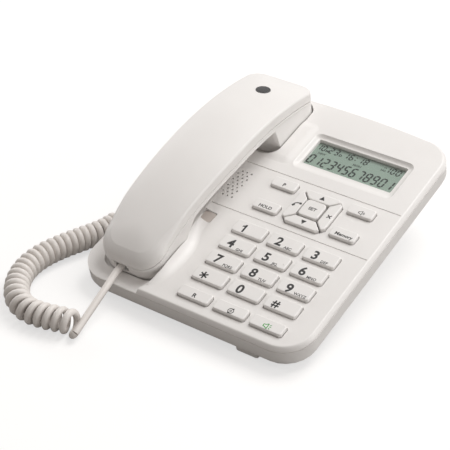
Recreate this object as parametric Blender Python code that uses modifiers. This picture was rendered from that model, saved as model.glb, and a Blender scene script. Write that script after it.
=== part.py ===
"""Corded desk telephone with a lift-off handset, a caller display and a curly handset cord.

Metres, +Z up, +Y to the back, +X to the right.  The origin lies on the table under the middle
of the base.  The top of the base is the "deck": a plane that rises to the back.  Nearly every
piece is placed in the deck frame, whose origin is the middle of the deck.
"""
import math

import bmesh
import bpy
from mathutils import Matrix, Vector

# ---------------------------------------------------------------- driving dimensions (metres)
# base
BASE_WIDTH = 0.158
BASE_LENGTH = 0.1948
BACK_BULGE = 0.003
CORNER_RADIUS = 0.020
DECK_TILT = 0.2124
FRONT_HEIGHT = 0.017
SKIRT_HEIGHT = 0.012
SHELL_WALL = 0.0022
EDGE_ROUNDING = 0.0026
PLATE_THICKNESS = 0.0017
PLATE_INSET = 0.001
BELLY_INSET = 0.014
BELLY_TAPER = 0.50
BELLY_CLEARANCE = 0.003
FIT_GAP = 0.0003

# how far cutters reach above the deck, into the walls and past the outside
CUT_ABOVE = 0.006
CUT_BELOW = 0.001
CUT_OUTSIDE = 0.010

# corners of small pieces
SMALL_CORNER = 0.0006
BOARD_CORNER = 0.001
SOCKET_CORNER = 0.0002
PLUG_CORNER = 0.0004
MIC_BOSS_CORNER = 0.0015
BELLY_CORNER = 0.010

# handset lane and its two wells, in the deck
LANE_DROP = 0.003
LANE_EDGE = 0.0442
LANE_BACK_MARGIN = 0.0094
LANE_BEND_BEFORE = 0.012
LANE_BEND_AFTER = 0.006
EAR_WELL_DEPTH = 0.0075
MOUTH_WELL_DEPTH = 0.006
WELL_CLEARANCE = 0.0012
WELL_CORNER = 0.009

# handset
HANDSET_OFFSET = 0.034
HANDSET_FRONT_MARGIN = 0.0104
HANDSET_LENGTH = 0.1794
HANDSET_WIDTH = 0.047
HANDSET_FRONT_TAPER = 0.0007
HANDSET_RISE = 0.0303
HANDSET_ARC_RADIUS = 0.235
HANDSET_ARC_CENTRE = 0.0049
HANDSET_CROWN = 0.0022
HANDSET_EDGE_INSET = 0.0008
HANDSET_EDGE_DROP = 0.0016
HANDSET_END_INSET = 0.0050
HANDSET_END_DROP = 0.0058
HANDSET_END_START = -0.048
HANDSET_END_RUN = 0.030
HANDSET_EDGE_TURN = math.radians(50.0)
HANDSET_FRONT_CORNER = 0.0135
HANDSET_BACK_CORNER = 0.010
HANDSET_WALL = 0.002
SEAM_DROP = 0.0075
HANDLE_DEPTH = 0.013
SHELL_LIP = 0.0014
LIP_INSET = 0.0004
MOUTHPIECE_LENGTH = 0.040
MOUTHPIECE_INSET = 0.003
EARPIECE_LENGTH = 0.0535
EARPIECE_INSET = 0.0015
BLOCK_SLOPE = 0.009
BLOCK_BOW = 0.007
BLOCK_ROUNDING = 0.003
RIM_HEIGHT = 0.0014
RIM_WIDTH = 0.014
RIM_SLOPE = 0.006
FIELD_CORNER_MARGIN = 0.0005
COLLAR_HEIGHT = 0.0030
COLLAR_WIDTH = 0.0032
COLLAR_SLOPE = 0.0024

# keys
KEY_PITCH_X = 0.025
KEY_PITCH_Y = 0.01426
KEY_WIDTH = 0.0213
KEY_DEPTH = 0.0100
ROW_KEY_DEPTH = 0.0078
FUNCTION_KEY_WIDTH = 0.0170
FUNCTION_KEY_DEPTH = 0.0080
KEY_HEIGHT = 0.0022
KEY_CORNER = 0.0021
KEY_CHAMFER = 0.0007
KEY_FOOT = 0.0040
KEY_FLANGE = 0.0008
KEY_FLANGE_THICKNESS = 0.0011
KEY_CLEARANCE = 0.0004
KEY_TRAVEL = 0.0012
KEYPAD_RIGHT_MARGIN = 0.0162
KEYPAD_FRONT_MARGIN = 0.0085
SPECIAL_ROW_GAP = 0.0150
FUNCTION_FRONT_GAP = 0.0231
FUNCTION_PITCH_Y = 0.0214
DPAD_SIZE = 0.0296
DPAD_FACE = 0.0212
DPAD_HOLE = 0.0156
DPAD_SPLIT = 0.0009
SET_KEY_SIZE = 0.0136
SET_KEY_CORNER = 0.0022
SET_KEY_RISE = 0.0008
DPAD_CENTRE_LIFT = 0.0130

# display
DISPLAY_LEFT_MARGIN = 0.0750
DISPLAY_RIGHT_MARGIN = 0.0196
DISPLAY_BACK_MARGIN = 0.0313
DISPLAY_SEAM_GAP = 0.0165
BEZEL_SIDE_BORDER = 0.0040
BEZEL_FRONT_BORDER = 0.0083
BEZEL_BACK_BORDER = 0.0036
BEZEL_DROP = 0.0020
BEZEL_RAMP = 0.0032
BEZEL_CORNER = 0.0050
WINDOW_STEP = 0.0012
WINDOW_THICKNESS = 0.0010
PANEL_THICKNESS = 0.0018
PANEL_BORDER = 0.0020
FRAME_WALL = 0.0018

# deck details
SEAM_GROOVE_WIDTH = 0.0006
SEAM_GROOVE_DEPTH = 0.0005
SEAM_LEFT_MARGIN = 0.0010
SEAM_RIGHT_MARGIN = 0.0030
UPPER_SEAM_GAP = 0.0064
LOWER_SEAM_GAP = 0.0051
LAMP_SIZE = 0.0086
LAMP_THICKNESS = 0.0022
LAMP_DROP = 0.0004
LAMP_EDGE_GAP = 0.0018
LAMP_SEAM_GAP = 0.0072
GRILLE_PITCH_X = 0.0034
GRILLE_PITCH_Y = 0.00286
GRILLE_HOLE_RADIUS = 0.00065
GRILLE_ROWS = 9
GRILLE_COLUMNS = 3
GRILLE_SEAM_GAP = 0.0092
GRILLE_EDGE_GAP = 0.0009

# inside the base
MEMBRANE_THICKNESS = 0.0016
BOARD_THICKNESS = 0.0016
BOARD_BORDER = 0.0052
BOARD_SIDE_BORDER = 0.0022
BOARD_FRONT_MARGIN = 0.0034
POST_RADIUS = 0.0018
SPEAKER_RADIUS = 0.018
SPEAKER_DEPTH = 0.010
SPEAKER_RIM = 0.0015
SPEAKER_CONE_DEPTH = 0.003
SPEAKER_BASKET_DEPTH = 0.006
SPEAKER_BOARD_GAP = 0.0018
PLUNGER_WIDTH = 0.005
PLUNGER_DEPTH = 0.012
PLUNGER_LENGTH = 0.0075
PLUNGER_TRAVEL = 0.004
SWITCH_WALL = 0.005
SWITCH_HEIGHT = 0.0065
SWITCH_FLOOR = 0.001
HOOK_MARGIN = 0.0175
MIC_BOSS_WIDTH = 0.0152
MIC_BOSS_DEPTH = 0.009
MIC_BOSS_OFFSET = 0.036
MIC_RADIUS = 0.003
MIC_HEIGHT = 0.0022
MIC_FLOOR = 0.0012
MIC_FRONT_MARGIN = 0.0008
FOOT_RADIUS = 0.0055
FOOT_EDGE_MARGIN = 0.003
SCREW_MARGIN_X = 0.008
SCREW_MARGIN_Y = 0.014
SCREW_RADIUS = 0.0013
SCREW_LENGTH = 0.0075
SCREW_HEAD_RADIUS = 0.0027
SCREW_HEAD_HEIGHT = 0.0012
SCREW_SIDES = 12
BOSS_RADIUS = 0.0034

# sockets, plugs and cord
PLUG_WIDTH = 0.0076
PLUG_HEIGHT = 0.0048
PLUG_LENGTH = 0.0125
PLUG_PROUD = 0.0012
JACK_WALL = 0.0006
JACK_FLOOR = 0.0005
JACK_END_WALL = 0.0012
LINE_JACK_WALL = 0.0016
LINE_SOCKET_WIDTH = 0.0100
LINE_SOCKET_HEIGHT = 0.0064
LINE_SOCKET_DEPTH = 0.0110
LINE_JACK_OFFSET = 0.030
CORD_JACK_POSITION = -0.010
HANDSET_SOCKET_OFFSET = 0.0055
HANDSET_SOCKET_HEIGHT = 0.0012
CORD_DIAMETER = 0.0043
COIL_DIAMETER = 0.0160
COIL_WIRE_GAP = 0.00058
COIL_POINTS_PER_TURN = 8
COIL_OPEN_LENGTH = 0.022
COIL_OPEN_FACTOR = 1.55
COIL_HEIGHT = 0.0082

# receiver parts inside the handset
RECEIVER_RADIUS = 0.0142
RECEIVER_HEIGHT = 0.007
CAPSULE_RADIUS = 0.005
CAPSULE_HEIGHT = 0.004
WEIGHT_WIDTH = 0.024
WEIGHT_LENGTH = 0.044
WEIGHT_HEIGHT = 0.006
HANDSET_BOSS_RADIUS = 0.003
HANDSET_HOLE_DEPTH = 0.006
HANDSET_SCREW_GAP = 0.012
SOCKET_CUT_LENGTH = 0.0145
HANDSET_JACK_GAP = 0.0020
HANDSET_JACK_LENGTH = 0.0090
MICROPHONE_OFFSET = 0.008
BADGE_RADIUS = 0.0051
BADGE_THICKNESS = 0.0009
BADGE_END_MARGIN = 0.0255

# cord routes on the table: the middle of the coil, and the plain lead at the base
COIL_ROUTE = [
    (-0.0918, -0.0360), (-0.0940, -0.0490), (-0.0985, -0.0610), (-0.1038, -0.0745),
    (-0.1077, -0.0880), (-0.1086, -0.1010), (-0.1060, -0.1135), (-0.1000, -0.1245),
    (-0.0915, -0.1332), (-0.0810, -0.1374), (-0.0700, -0.1369), (-0.0600, -0.1344),
    (-0.0510, -0.1322),
]
BASE_LEAD_ROUTE = [(-0.0885, -0.0110, 0.0262), (-0.0893, -0.0220, 0.0232), (-0.0872, -0.0310, 0.0182)]
FOOT_BEND = [
    (0.0008, -0.0033, 0.0000), (0.0024, -0.0052, 0.0012), (0.0040, -0.0048, 0.0032),
]

# ---------------------------------------------------------------- derived places
SIN_TILT = math.sin(DECK_TILT)
COS_TILT = math.cos(DECK_TILT)
DECK_HEIGHT = FRONT_HEIGHT + 0.5 * BASE_LENGTH * SIN_TILT
DECK_SHIFT = -0.5 * SKIRT_HEIGHT * SIN_TILT
DECK_MATRIX = Matrix.Translation((0.0, DECK_SHIFT, DECK_HEIGHT)) @ Matrix.Rotation(DECK_TILT, 4, "X")

LEFT = -0.5 * BASE_WIDTH
RIGHT = 0.5 * BASE_WIDTH
FRONT = -0.5 * BASE_LENGTH
BACK = 0.5 * BASE_LENGTH
LANE_X = LEFT + LANE_EDGE
HANDSET_X = LEFT + HANDSET_OFFSET
HANDSET_FRONT = FRONT + HANDSET_FRONT_MARGIN
HANDSET_BACK = HANDSET_FRONT + HANDSET_LENGTH
EAR_FRONT = HANDSET_BACK - EARPIECE_LENGTH
MOUTH_BACK = HANDSET_FRONT + MOUTHPIECE_LENGTH

COLUMN_X = [RIGHT - KEYPAD_RIGHT_MARGIN - 0.5 * KEY_WIDTH - (2 - i) * KEY_PITCH_X for i in range(3)]
SPECIAL_ROW_Y = FRONT + KEYPAD_FRONT_MARGIN + 0.5 * ROW_KEY_DEPTH
FOURTH_ROW_FRONT = FRONT + KEYPAD_FRONT_MARGIN + SPECIAL_ROW_GAP
ROW_Y = [FOURTH_ROW_FRONT + 0.5 * KEY_DEPTH + (3 - j) * KEY_PITCH_Y for j in range(4)]
FIRST_ROW_FRONT = ROW_Y[0] - 0.5 * KEY_DEPTH
LOWER_FUNCTION_Y = FIRST_ROW_FRONT + FUNCTION_FRONT_GAP + 0.5 * FUNCTION_KEY_DEPTH
UPPER_FUNCTION_Y = LOWER_FUNCTION_Y + FUNCTION_PITCH_Y
FUNCTION_X = [
    COLUMN_X[0] - 0.5 * (KEY_WIDTH - FUNCTION_KEY_WIDTH),
    COLUMN_X[2] + 0.5 * (KEY_WIDTH - FUNCTION_KEY_WIDTH),
]
DPAD_X = COLUMN_X[1]
DPAD_Y = LOWER_FUNCTION_Y - 0.5 * FUNCTION_KEY_DEPTH + DPAD_CENTRE_LIFT
DPAD_BACK = DPAD_Y + 0.5 * DPAD_SIZE
LOWER_SEAM_Y = DPAD_Y - 0.5 * DPAD_SIZE - LOWER_SEAM_GAP
UPPER_SEAM_Y = DPAD_BACK + UPPER_SEAM_GAP

DISPLAY_WIDTH = BASE_WIDTH - DISPLAY_LEFT_MARGIN - DISPLAY_RIGHT_MARGIN
DISPLAY_DEPTH = BACK - DISPLAY_BACK_MARGIN - UPPER_SEAM_Y - DISPLAY_SEAM_GAP
DISPLAY_X = LEFT + DISPLAY_LEFT_MARGIN + 0.5 * DISPLAY_WIDTH
DISPLAY_Y = BACK - DISPLAY_BACK_MARGIN - 0.5 * DISPLAY_DEPTH
BEZEL_Y = DISPLAY_Y + 0.5 * (BEZEL_BACK_BORDER - BEZEL_FRONT_BORDER)
WINDOW_TOP = -BEZEL_DROP - WINDOW_STEP
WINDOW_BOTTOM = WINDOW_TOP - WINDOW_THICKNESS
PANEL_TOP = WINDOW_BOTTOM - FIT_GAP
PANEL_BOTTOM = PANEL_TOP - PANEL_THICKNESS
MEMBRANE_TOP = -KEY_FOOT - KEY_TRAVEL - FIT_GAP
BOARD_TOP = MEMBRANE_TOP - MEMBRANE_THICKNESS - FIT_GAP
SKIRT_BOTTOM = -SKIRT_HEIGHT
PLATE_TOP = SKIRT_BOTTOM - FIT_GAP
PLATE_BOTTOM = PLATE_TOP - PLATE_THICKNESS

LAMP_X = LANE_X + LAMP_EDGE_GAP + 0.5 * LAMP_SIZE
LAMP_Y = LOWER_SEAM_Y - LAMP_SEAM_GAP - 0.5 * LAMP_SIZE
EAR_Y = 0.5 * (EAR_FRONT + HANDSET_BACK - EARPIECE_INSET)
HOOK_Y = EAR_FRONT + HOOK_MARGIN
EAR_FLOOR = -EAR_WELL_DEPTH
MOUTH_FLOOR = -MOUTH_WELL_DEPTH
SOCKET_X = HANDSET_X - HANDSET_SOCKET_OFFSET
CORD_JACK_TOP = -LANE_DROP - SHELL_WALL - FIT_GAP
CORD_JACK_Z = CORD_JACK_TOP - JACK_WALL - FIT_GAP - 0.5 * PLUG_HEIGHT

# ---------------------------------------------------------------- scene and helpers
for old in list(bpy.data.objects):
    bpy.data.objects.remove(old, do_unlink=True)

PARTS = bpy.data.collections.new("corded_telephone")
CUTTERS = bpy.data.collections.new("cutters")
bpy.context.scene.collection.children.link(PARTS)
bpy.context.scene.collection.children.link(CUTTERS)

DECK = bpy.data.objects.new("deck_frame", None)
DECK.matrix_world = DECK_MATRIX
PARTS.objects.link(DECK)


def material(name, color, roughness, metallic=0.0, alpha=1.0):
    """A Principled material with one colour."""
    made = bpy.data.materials.new(name)
    made.use_nodes = True
    shader = made.node_tree.nodes["Principled BSDF"]
    shader.inputs["Base Color"].default_value = (*color, 1.0)
    shader.inputs["Roughness"].default_value = roughness
    shader.inputs["Metallic"].default_value = metallic
    shader.inputs["Alpha"].default_value = alpha
    return made


SHELL_WHITE = material("shell_white", (0.83, 0.80, 0.78), 0.35)
KEY_WHITE = material("key_white", (0.85, 0.83, 0.81), 0.38)
CORD_WHITE = material("cord_white", (0.74, 0.71, 0.68), 0.45)
LAMP_PINK = material("lamp_pink", (0.70, 0.62, 0.58), 0.30)
CLEAR = material("clear_plastic", (0.85, 0.88, 0.86), 0.10, 0.0, 0.35)
DISPLAY_GREEN = material("display_green", (0.27, 0.36, 0.30), 0.25)
BADGE_GREY = material("badge_grey", (0.10, 0.10, 0.10), 0.35)
RUBBER = material("foot_rubber", (0.16, 0.15, 0.15), 0.80)
MEMBRANE = material("membrane_grey", (0.45, 0.45, 0.46), 0.75)
BOARD_GREEN = material("board_green", (0.05, 0.22, 0.10), 0.45)
DARK_PLASTIC = material("dark_plastic", (0.05, 0.05, 0.05), 0.50)
STEEL = material("zinc_steel", (0.62, 0.62, 0.60), 0.35, 1.0)


def add(name, mesh, look, collection=None, on_deck=True, place=(0.0, 0.0, 0.0)):
    """An object of this mesh, in the deck frame unless on_deck is false."""
    item = bpy.data.objects.new(name, mesh)
    (collection or PARTS).objects.link(item)
    if on_deck:
        item.parent = DECK
    item.location = place
    if look is not None:
        mesh.materials.append(look)
    if collection is CUTTERS:
        item.hide_render = True
        item.display_type = "WIRE"
    return item


def mesh_from(bm, name):
    """A mesh from this bmesh, with its faces turned outwards."""
    bmesh.ops.recalc_face_normals(bm, faces=bm.faces)
    mesh = bpy.data.meshes.new(name)
    bm.to_mesh(mesh)
    bm.free()
    return mesh


def rounded_rect(width, depth, radius, segments=2):
    """Corner points of a rounded rectangle about the origin, anticlockwise."""
    points = []
    for quarter, (sx, sy) in enumerate([(1, -1), (1, 1), (-1, 1), (-1, -1)]):
        cx = sx * (0.5 * width - radius)
        cy = sy * (0.5 * depth - radius)
        for step in range(segments + 1):
            angle = math.radians(-90.0 + 90.0 * quarter + 90.0 * step / segments)
            points.append((cx + radius * math.cos(angle), cy + radius * math.sin(angle)))
    return points


def prism(bm, outline, low, high, centre=(0.0, 0.0)):
    """A straight solid over an outline; returns its top face."""
    corners = [bm.verts.new((x + centre[0], y + centre[1], low)) for x, y in outline]
    floor = bm.faces.new(corners)
    grown = bmesh.ops.extrude_face_region(bm, geom=[floor], use_keep_orig=True)
    moved = [part for part in grown["geom"] if isinstance(part, bmesh.types.BMVert)]
    bmesh.ops.translate(bm, verts=moved, vec=(0.0, 0.0, high - low))
    return [part for part in grown["geom"] if isinstance(part, bmesh.types.BMFace)][0]


def step_up(bm, face, inset, rise):
    """Inset a face and raise what is inside, which leaves a ledge or a chamfer."""
    bmesh.ops.inset_region(bm, faces=[face], thickness=inset, use_even_offset=True)
    bmesh.ops.translate(bm, verts=list(face.verts), vec=(0.0, 0.0, rise))


def raise_face(bm, face, rise):
    """Extrude a face straight up; returns the moved face."""
    grown = bmesh.ops.extrude_discrete_faces(bm, faces=[face])
    top = grown["faces"][0]
    bmesh.ops.translate(bm, verts=list(top.verts), vec=(0.0, 0.0, rise))
    return top


def block(name, outline, low, high, look, collection=None, centre=(0.0, 0.0)):
    """An object that is one straight solid on the deck."""
    bm = bmesh.new()
    prism(bm, outline, low, high)
    return add(name, mesh_from(bm, name), look, collection, place=(*centre, 0.0))


def cut(target, cutter, operation="DIFFERENCE"):
    """Subtract or join a cutter, as a modifier that stays on the target."""
    boolean = target.modifiers.new(operation.lower() + "_" + cutter.name, "BOOLEAN")
    boolean.operation = operation
    boolean.solver = "EXACT"
    boolean.object = cutter


def cylinder(bm, radius, low, high, centre=(0.0, 0.0), sides=12):
    """A cylinder about +Z."""
    turn = Matrix.Translation((centre[0], centre[1], 0.5 * (low + high)))
    bmesh.ops.create_cone(bm, cap_ends=True, segments=sides, radius1=radius, radius2=radius,
                          depth=high - low, matrix=turn)


def round_block(name, radius, low, high, look, centre=(0.0, 0.0), sides=20, collection=None):
    """An object that is one cylinder on the deck."""
    bm = bmesh.new()
    cylinder(bm, radius, low, high, sides=sides)
    return add(name, mesh_from(bm, name), look, collection, place=(*centre, 0.0))


def back_edge(x, inset=0.0):
    """Where the back edge of the base lies at this x."""
    return BACK - inset - BACK_BULGE * (x / (0.5 * BASE_WIDTH - CORNER_RADIUS)) ** 2


def base_outline(inset):
    """The outline of the base: round corners, and a back edge that bulges."""
    width = BASE_WIDTH - 2 * inset
    depth = BASE_LENGTH - 2 * inset - BACK_BULGE
    corners = rounded_rect(width, depth, CORNER_RADIUS - inset, 6)
    points = [(x, y - 0.5 * BACK_BULGE) for x, y in corners]
    reach = 0.5 * BASE_WIDTH - CORNER_RADIUS
    bulge = [reach * (1.0 - step / 3) for step in range(1, 6)]
    half = len(points) // 2
    return points[:half] + [(x, back_edge(x, inset)) for x in bulge] + points[half:]


def deck_to_world(point):
    """World place of a deck-frame point."""
    return DECK_MATRIX @ Vector(point)


def deck_depth_at(y, height):
    """Deck-frame z at this deck y where the world height has this value."""
    return (height - DECK_HEIGHT - y * SIN_TILT) / COS_TILT


# ---------------------------------------------------------------- base shells
def lane_outline(grow):
    """The handset lane: from past the left wall to the lane's edge, open to the front."""
    left = LEFT - CUT_OUTSIDE
    front = FRONT - CUT_OUTSIDE
    back = BACK - LANE_BACK_MARGIN + grow
    edge = LANE_X + grow
    wide = lane_wide_x() + grow
    return [(left, front), (wide, front), (wide, MOUTH_BACK - LANE_BEND_BEFORE),
            (edge, MOUTH_BACK + LANE_BEND_AFTER), (edge, EAR_FRONT), (edge, back), (left, back)]


def mouth_well_outline(grow):
    """The well that holds the mouthpiece."""
    width = HANDSET_WIDTH - 2 * MOUTHPIECE_INSET
    depth = MOUTHPIECE_LENGTH - MOUTHPIECE_INSET
    size = 2 * (WELL_CLEARANCE + grow)
    return rounded_rect(width + size, depth + size, WELL_CORNER + grow, 4)


def ear_well_outline(grow):
    """The well that holds the earpiece."""
    width = HANDSET_WIDTH - 2 * EARPIECE_INSET
    depth = EARPIECE_LENGTH - EARPIECE_INSET
    size = 2 * (WELL_CLEARANCE + grow)
    return rounded_rect(width + size, depth + size, WELL_CORNER + grow, 4)


def well_places():
    """Centres of the mouthpiece well and the earpiece well."""
    mouth = (HANDSET_X, 0.5 * (HANDSET_FRONT + MOUTHPIECE_INSET + MOUTH_BACK))
    return mouth, (HANDSET_X, EAR_Y)


def bezel_cutter(name, grow):
    """The shallow sloped frame round the display window, from a little above the deck down."""
    above = 0.0005
    slope = BEZEL_RAMP / BEZEL_DROP
    border_y = BEZEL_FRONT_BORDER + BEZEL_BACK_BORDER
    width = DISPLAY_WIDTH + 2 * (BEZEL_SIDE_BORDER + grow + slope * above)
    depth = DISPLAY_DEPTH + border_y + 2 * (grow + slope * above)
    bm = bmesh.new()
    top = prism(bm, rounded_rect(width, depth, BEZEL_CORNER + grow, 3), CUT_ABOVE, above)
    step_up(bm, top, BEZEL_RAMP + slope * above, -BEZEL_DROP - grow - above)
    return add(name, mesh_from(bm, name), None, CUTTERS, place=(DISPLAY_X, BEZEL_Y, 0.0))


def key_openings():
    """One cutter for all the key openings."""
    bm = bmesh.new()
    low = -3 * SHELL_WALL
    for outline, centre, _ in key_plan():
        prism(bm, grown(outline, KEY_CLEARANCE), low, CUT_ABOVE, centre)
    ring = DPAD_SIZE + 2 * KEY_CLEARANCE
    prism(bm, octagon(ring, DPAD_FACE + KEY_CLEARANCE), low, CUT_ABOVE, (DPAD_X, DPAD_Y))
    return add("key_openings", mesh_from(bm, "key_openings"), None, CUTTERS)


def grown(outline, size):
    """The outline made larger by this much on each side."""
    half_x = max(x for x, _ in outline)
    half_y = max(y for _, y in outline)
    return [(x * (1 + size / half_x), y * (1 + size / half_y)) for x, y in outline]


def octagon(size, face):
    """A square with its corners cut, whose sides keep this length."""
    a = 0.5 * size
    b = 0.5 * face
    return [(b, -a), (a, -b), (a, b), (b, a), (-b, a), (-a, b), (-a, -b), (-b, -a)]


def key_plan():
    """Outline, centre and name of each key that stands in an opening of its own."""
    plan = []
    number = rounded_rect(KEY_WIDTH, KEY_DEPTH, KEY_CORNER)
    special = rounded_rect(KEY_WIDTH, ROW_KEY_DEPTH, KEY_CORNER)
    function = rounded_rect(FUNCTION_KEY_WIDTH, FUNCTION_KEY_DEPTH, KEY_CORNER)
    names = ["key_1", "key_2", "key_3", "key_4", "key_5", "key_6", "key_7", "key_8", "key_9",
             "key_star", "key_0", "key_hash"]
    for index, name in enumerate(names):
        plan.append((number, (COLUMN_X[index % 3], ROW_Y[index // 3]), name))
    for x, name in zip(COLUMN_X, ["key_flash", "key_redial", "key_speaker"]):
        plan.append((special, (x, SPECIAL_ROW_Y), name))
    sides = [("key_p", 0, UPPER_FUNCTION_Y), ("key_hold", 0, LOWER_FUNCTION_Y),
             ("key_volume", 1, UPPER_FUNCTION_Y), ("key_memory", 1, LOWER_FUNCTION_Y)]
    for name, side, y in sides:
        plan.append((function, (FUNCTION_X[side], y), name))
    return plan


def post_places(left, right, front, back):
    """Posts near the corners of a board."""
    inset = POST_RADIUS + FIT_GAP
    return [(x, y) for x in (left + inset, right - inset) for y in (front + inset, back - inset)]


def screw_places():
    """The four screws that hold the lower shell."""
    x = RIGHT - SCREW_MARGIN_X
    y = BACK - SCREW_MARGIN_Y
    return [(-x, -y), (-x, y), (x, -y), (x, y)]


def keypad_board_box():
    """Left, right, front and back of the keypad board."""
    left = COLUMN_X[0] - 0.5 * KEY_WIDTH - KEY_FLANGE - BOARD_SIDE_BORDER
    right = COLUMN_X[2] + 0.5 * KEY_WIDTH + KEY_FLANGE + BOARD_SIDE_BORDER
    front = FRONT + BOARD_FRONT_MARGIN
    return left, right, front, UPPER_FUNCTION_Y + 0.5 * FUNCTION_KEY_DEPTH + BOARD_BORDER


def main_board_box():
    """Left, right, front and back of the main board under the display."""
    half_x = 0.5 * DISPLAY_WIDTH + PANEL_BORDER + FRAME_WALL + BOARD_BORDER
    half_y = 0.5 * DISPLAY_DEPTH + PANEL_BORDER + FRAME_WALL + BOARD_BORDER
    return DISPLAY_X - half_x, DISPLAY_X + half_x, DISPLAY_Y - half_y, DISPLAY_Y + half_y


def raised_field(name, left, right, front, back, slope, rise):
    """A low field on the deck with sloping sides."""
    bm = bmesh.new()
    outline = rounded_rect(right - left, back - front, slope + FIELD_CORNER_MARGIN, 3)
    top = prism(bm, outline, -0.2 * SHELL_WALL, 0.0)
    step_up(bm, top, slope, rise)
    return add(name, mesh_from(bm, name), None, CUTTERS,
               place=(0.5 * (left + right), 0.5 * (front + back), 0.0))


def ear_rim():
    """The raised field beside the earpiece."""
    right = HANDSET_X + 0.5 * HANDSET_WIDTH + RIM_WIDTH
    return raised_field("ear_rim", LANE_X, right, EAR_FRONT - RIM_SLOPE, HANDSET_BACK - HANDSET_FRONT_CORNER,
                        RIM_SLOPE, RIM_HEIGHT)


def lane_wide_x():
    """Right edge of the lane beside the mouthpiece."""
    return HANDSET_X + 0.5 * HANDSET_WIDTH - MOUTHPIECE_INSET + WELL_CLEARANCE


def mouth_collar():
    """The ridge on the deck beside the mouthpiece; the lane's cutter takes its left part."""
    edge = lane_wide_x()
    return raised_field("mouth_collar", edge - 2 * COLLAR_SLOPE, edge + COLLAR_WIDTH,
                        HANDSET_FRONT + MOUTHPIECE_INSET, MOUTH_BACK, COLLAR_SLOPE, COLLAR_HEIGHT)


def upper_shell():
    """The top housing: deck, skirt, lane, wells, openings, posts and screw bosses."""
    bm = bmesh.new()
    top = prism(bm, base_outline(0.0), SKIRT_BOTTOM, -EDGE_ROUNDING)
    for angle in (30.0, 60.0, 90.0):
        start = math.radians(angle - 30.0)
        end = math.radians(angle)
        inset = EDGE_ROUNDING * (math.cos(start) - math.cos(end))
        step_up(bm, top, inset, EDGE_ROUNDING * (math.sin(end) - math.sin(start)))
    shell = add("upper_shell", mesh_from(bm, "upper_shell"), SHELL_WHITE)
    cut(shell, ear_rim(), "UNION")
    cut(shell, mouth_collar(), "UNION")

    room = block("shell_room", base_outline(SHELL_WALL), SKIRT_BOTTOM - CUT_BELOW,
                 -SHELL_WALL, None, CUTTERS)
    mouth, ear = well_places()
    wall = SHELL_WALL
    cut(room, block("lane_wall", lane_outline(wall), -LANE_DROP - wall, CUT_BELOW, None, CUTTERS))
    cut(room, block("mouth_wall", mouth_well_outline(wall), MOUTH_FLOOR - wall, CUT_BELOW, None, CUTTERS,
                    mouth))
    cut(room, block("ear_wall", ear_well_outline(wall), EAR_FLOOR - wall, CUT_BELOW, None, CUTTERS, ear))
    cut(room, bezel_cutter("bezel_wall", wall))

    supports = bmesh.new()
    for place in screw_places():
        cylinder(supports, BOSS_RADIUS, SKIRT_BOTTOM, -0.5 * wall, place)
    for box in (keypad_board_box(), main_board_box()):
        for place in post_places(*box):
            cylinder(supports, POST_RADIUS, BOARD_TOP + FIT_GAP, -0.5 * wall, place, 8)
    supports = add("supports", mesh_from(supports, "supports"), None, CUTTERS)
    cut(room, supports)

    cut(shell, room)
    cut(shell, block("lane", lane_outline(0.0), -LANE_DROP, CUT_ABOVE, None, CUTTERS))
    cut(shell, block("mouth_well", mouth_well_outline(0.0), MOUTH_FLOOR, CUT_ABOVE, None, CUTTERS, mouth))
    cut(shell, block("ear_well", ear_well_outline(0.0), EAR_FLOOR, CUT_ABOVE, None, CUTTERS, ear))
    cut(shell, bezel_cutter("bezel", 0.0))
    window = rounded_rect(DISPLAY_WIDTH, DISPLAY_DEPTH, SMALL_CORNER, 1)
    cut(shell, block("window_opening", window, WINDOW_BOTTOM - SHELL_WALL, 0.0, None, CUTTERS,
                     (DISPLAY_X, DISPLAY_Y)))
    cut(shell, key_openings())

    lamp = rounded_rect(LAMP_SIZE, LAMP_SIZE, SMALL_CORNER, 1)
    cut(shell, block("lamp_opening", lamp, -2 * SHELL_WALL, CUT_ABOVE, None, CUTTERS, (LAMP_X, LAMP_Y)))
    plunger = rounded_rect(PLUNGER_WIDTH + 2 * FIT_GAP, PLUNGER_DEPTH + 2 * FIT_GAP, BOARD_CORNER, 1)
    cut(shell, block("plunger_opening", plunger, EAR_FLOOR - 2 * SHELL_WALL, EAR_FLOOR + CUT_BELOW, None,
                     CUTTERS, (HANDSET_X, HOOK_Y)))
    cut(shell, grille_cutter())
    cut(shell, seam_cutter())
    cut(shell, skirt_openings())
    holes = bmesh.new()
    for place in screw_places():
        cylinder(holes, SCREW_RADIUS + FIT_GAP, SKIRT_BOTTOM - CUT_BELOW, PLATE_BOTTOM + SCREW_LENGTH,
                 place, 8)
    cut(shell, add("screw_holes", mesh_from(holes, "screw_holes"), None, CUTTERS))
    return shell


def grille_cutter():
    """Rows of small holes over the loudspeaker, each second row shifted by half a step."""
    bm = bmesh.new()
    first_y = LOWER_SEAM_Y + GRILLE_SEAM_GAP
    first_x = LANE_X + GRILLE_HOLE_RADIUS + GRILLE_EDGE_GAP
    for row in range(GRILLE_ROWS):
        shift = 0.5 * GRILLE_PITCH_X if row % 2 == 0 else 0.0
        for column in range(GRILLE_COLUMNS):
            place = (first_x + shift + column * GRILLE_PITCH_X, first_y + row * GRILLE_PITCH_Y)
            cylinder(bm, GRILLE_HOLE_RADIUS, -2 * SHELL_WALL, CUT_BELOW, place, 6)
    return add("grille_holes", mesh_from(bm, "grille_holes"), None, CUTTERS)


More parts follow.
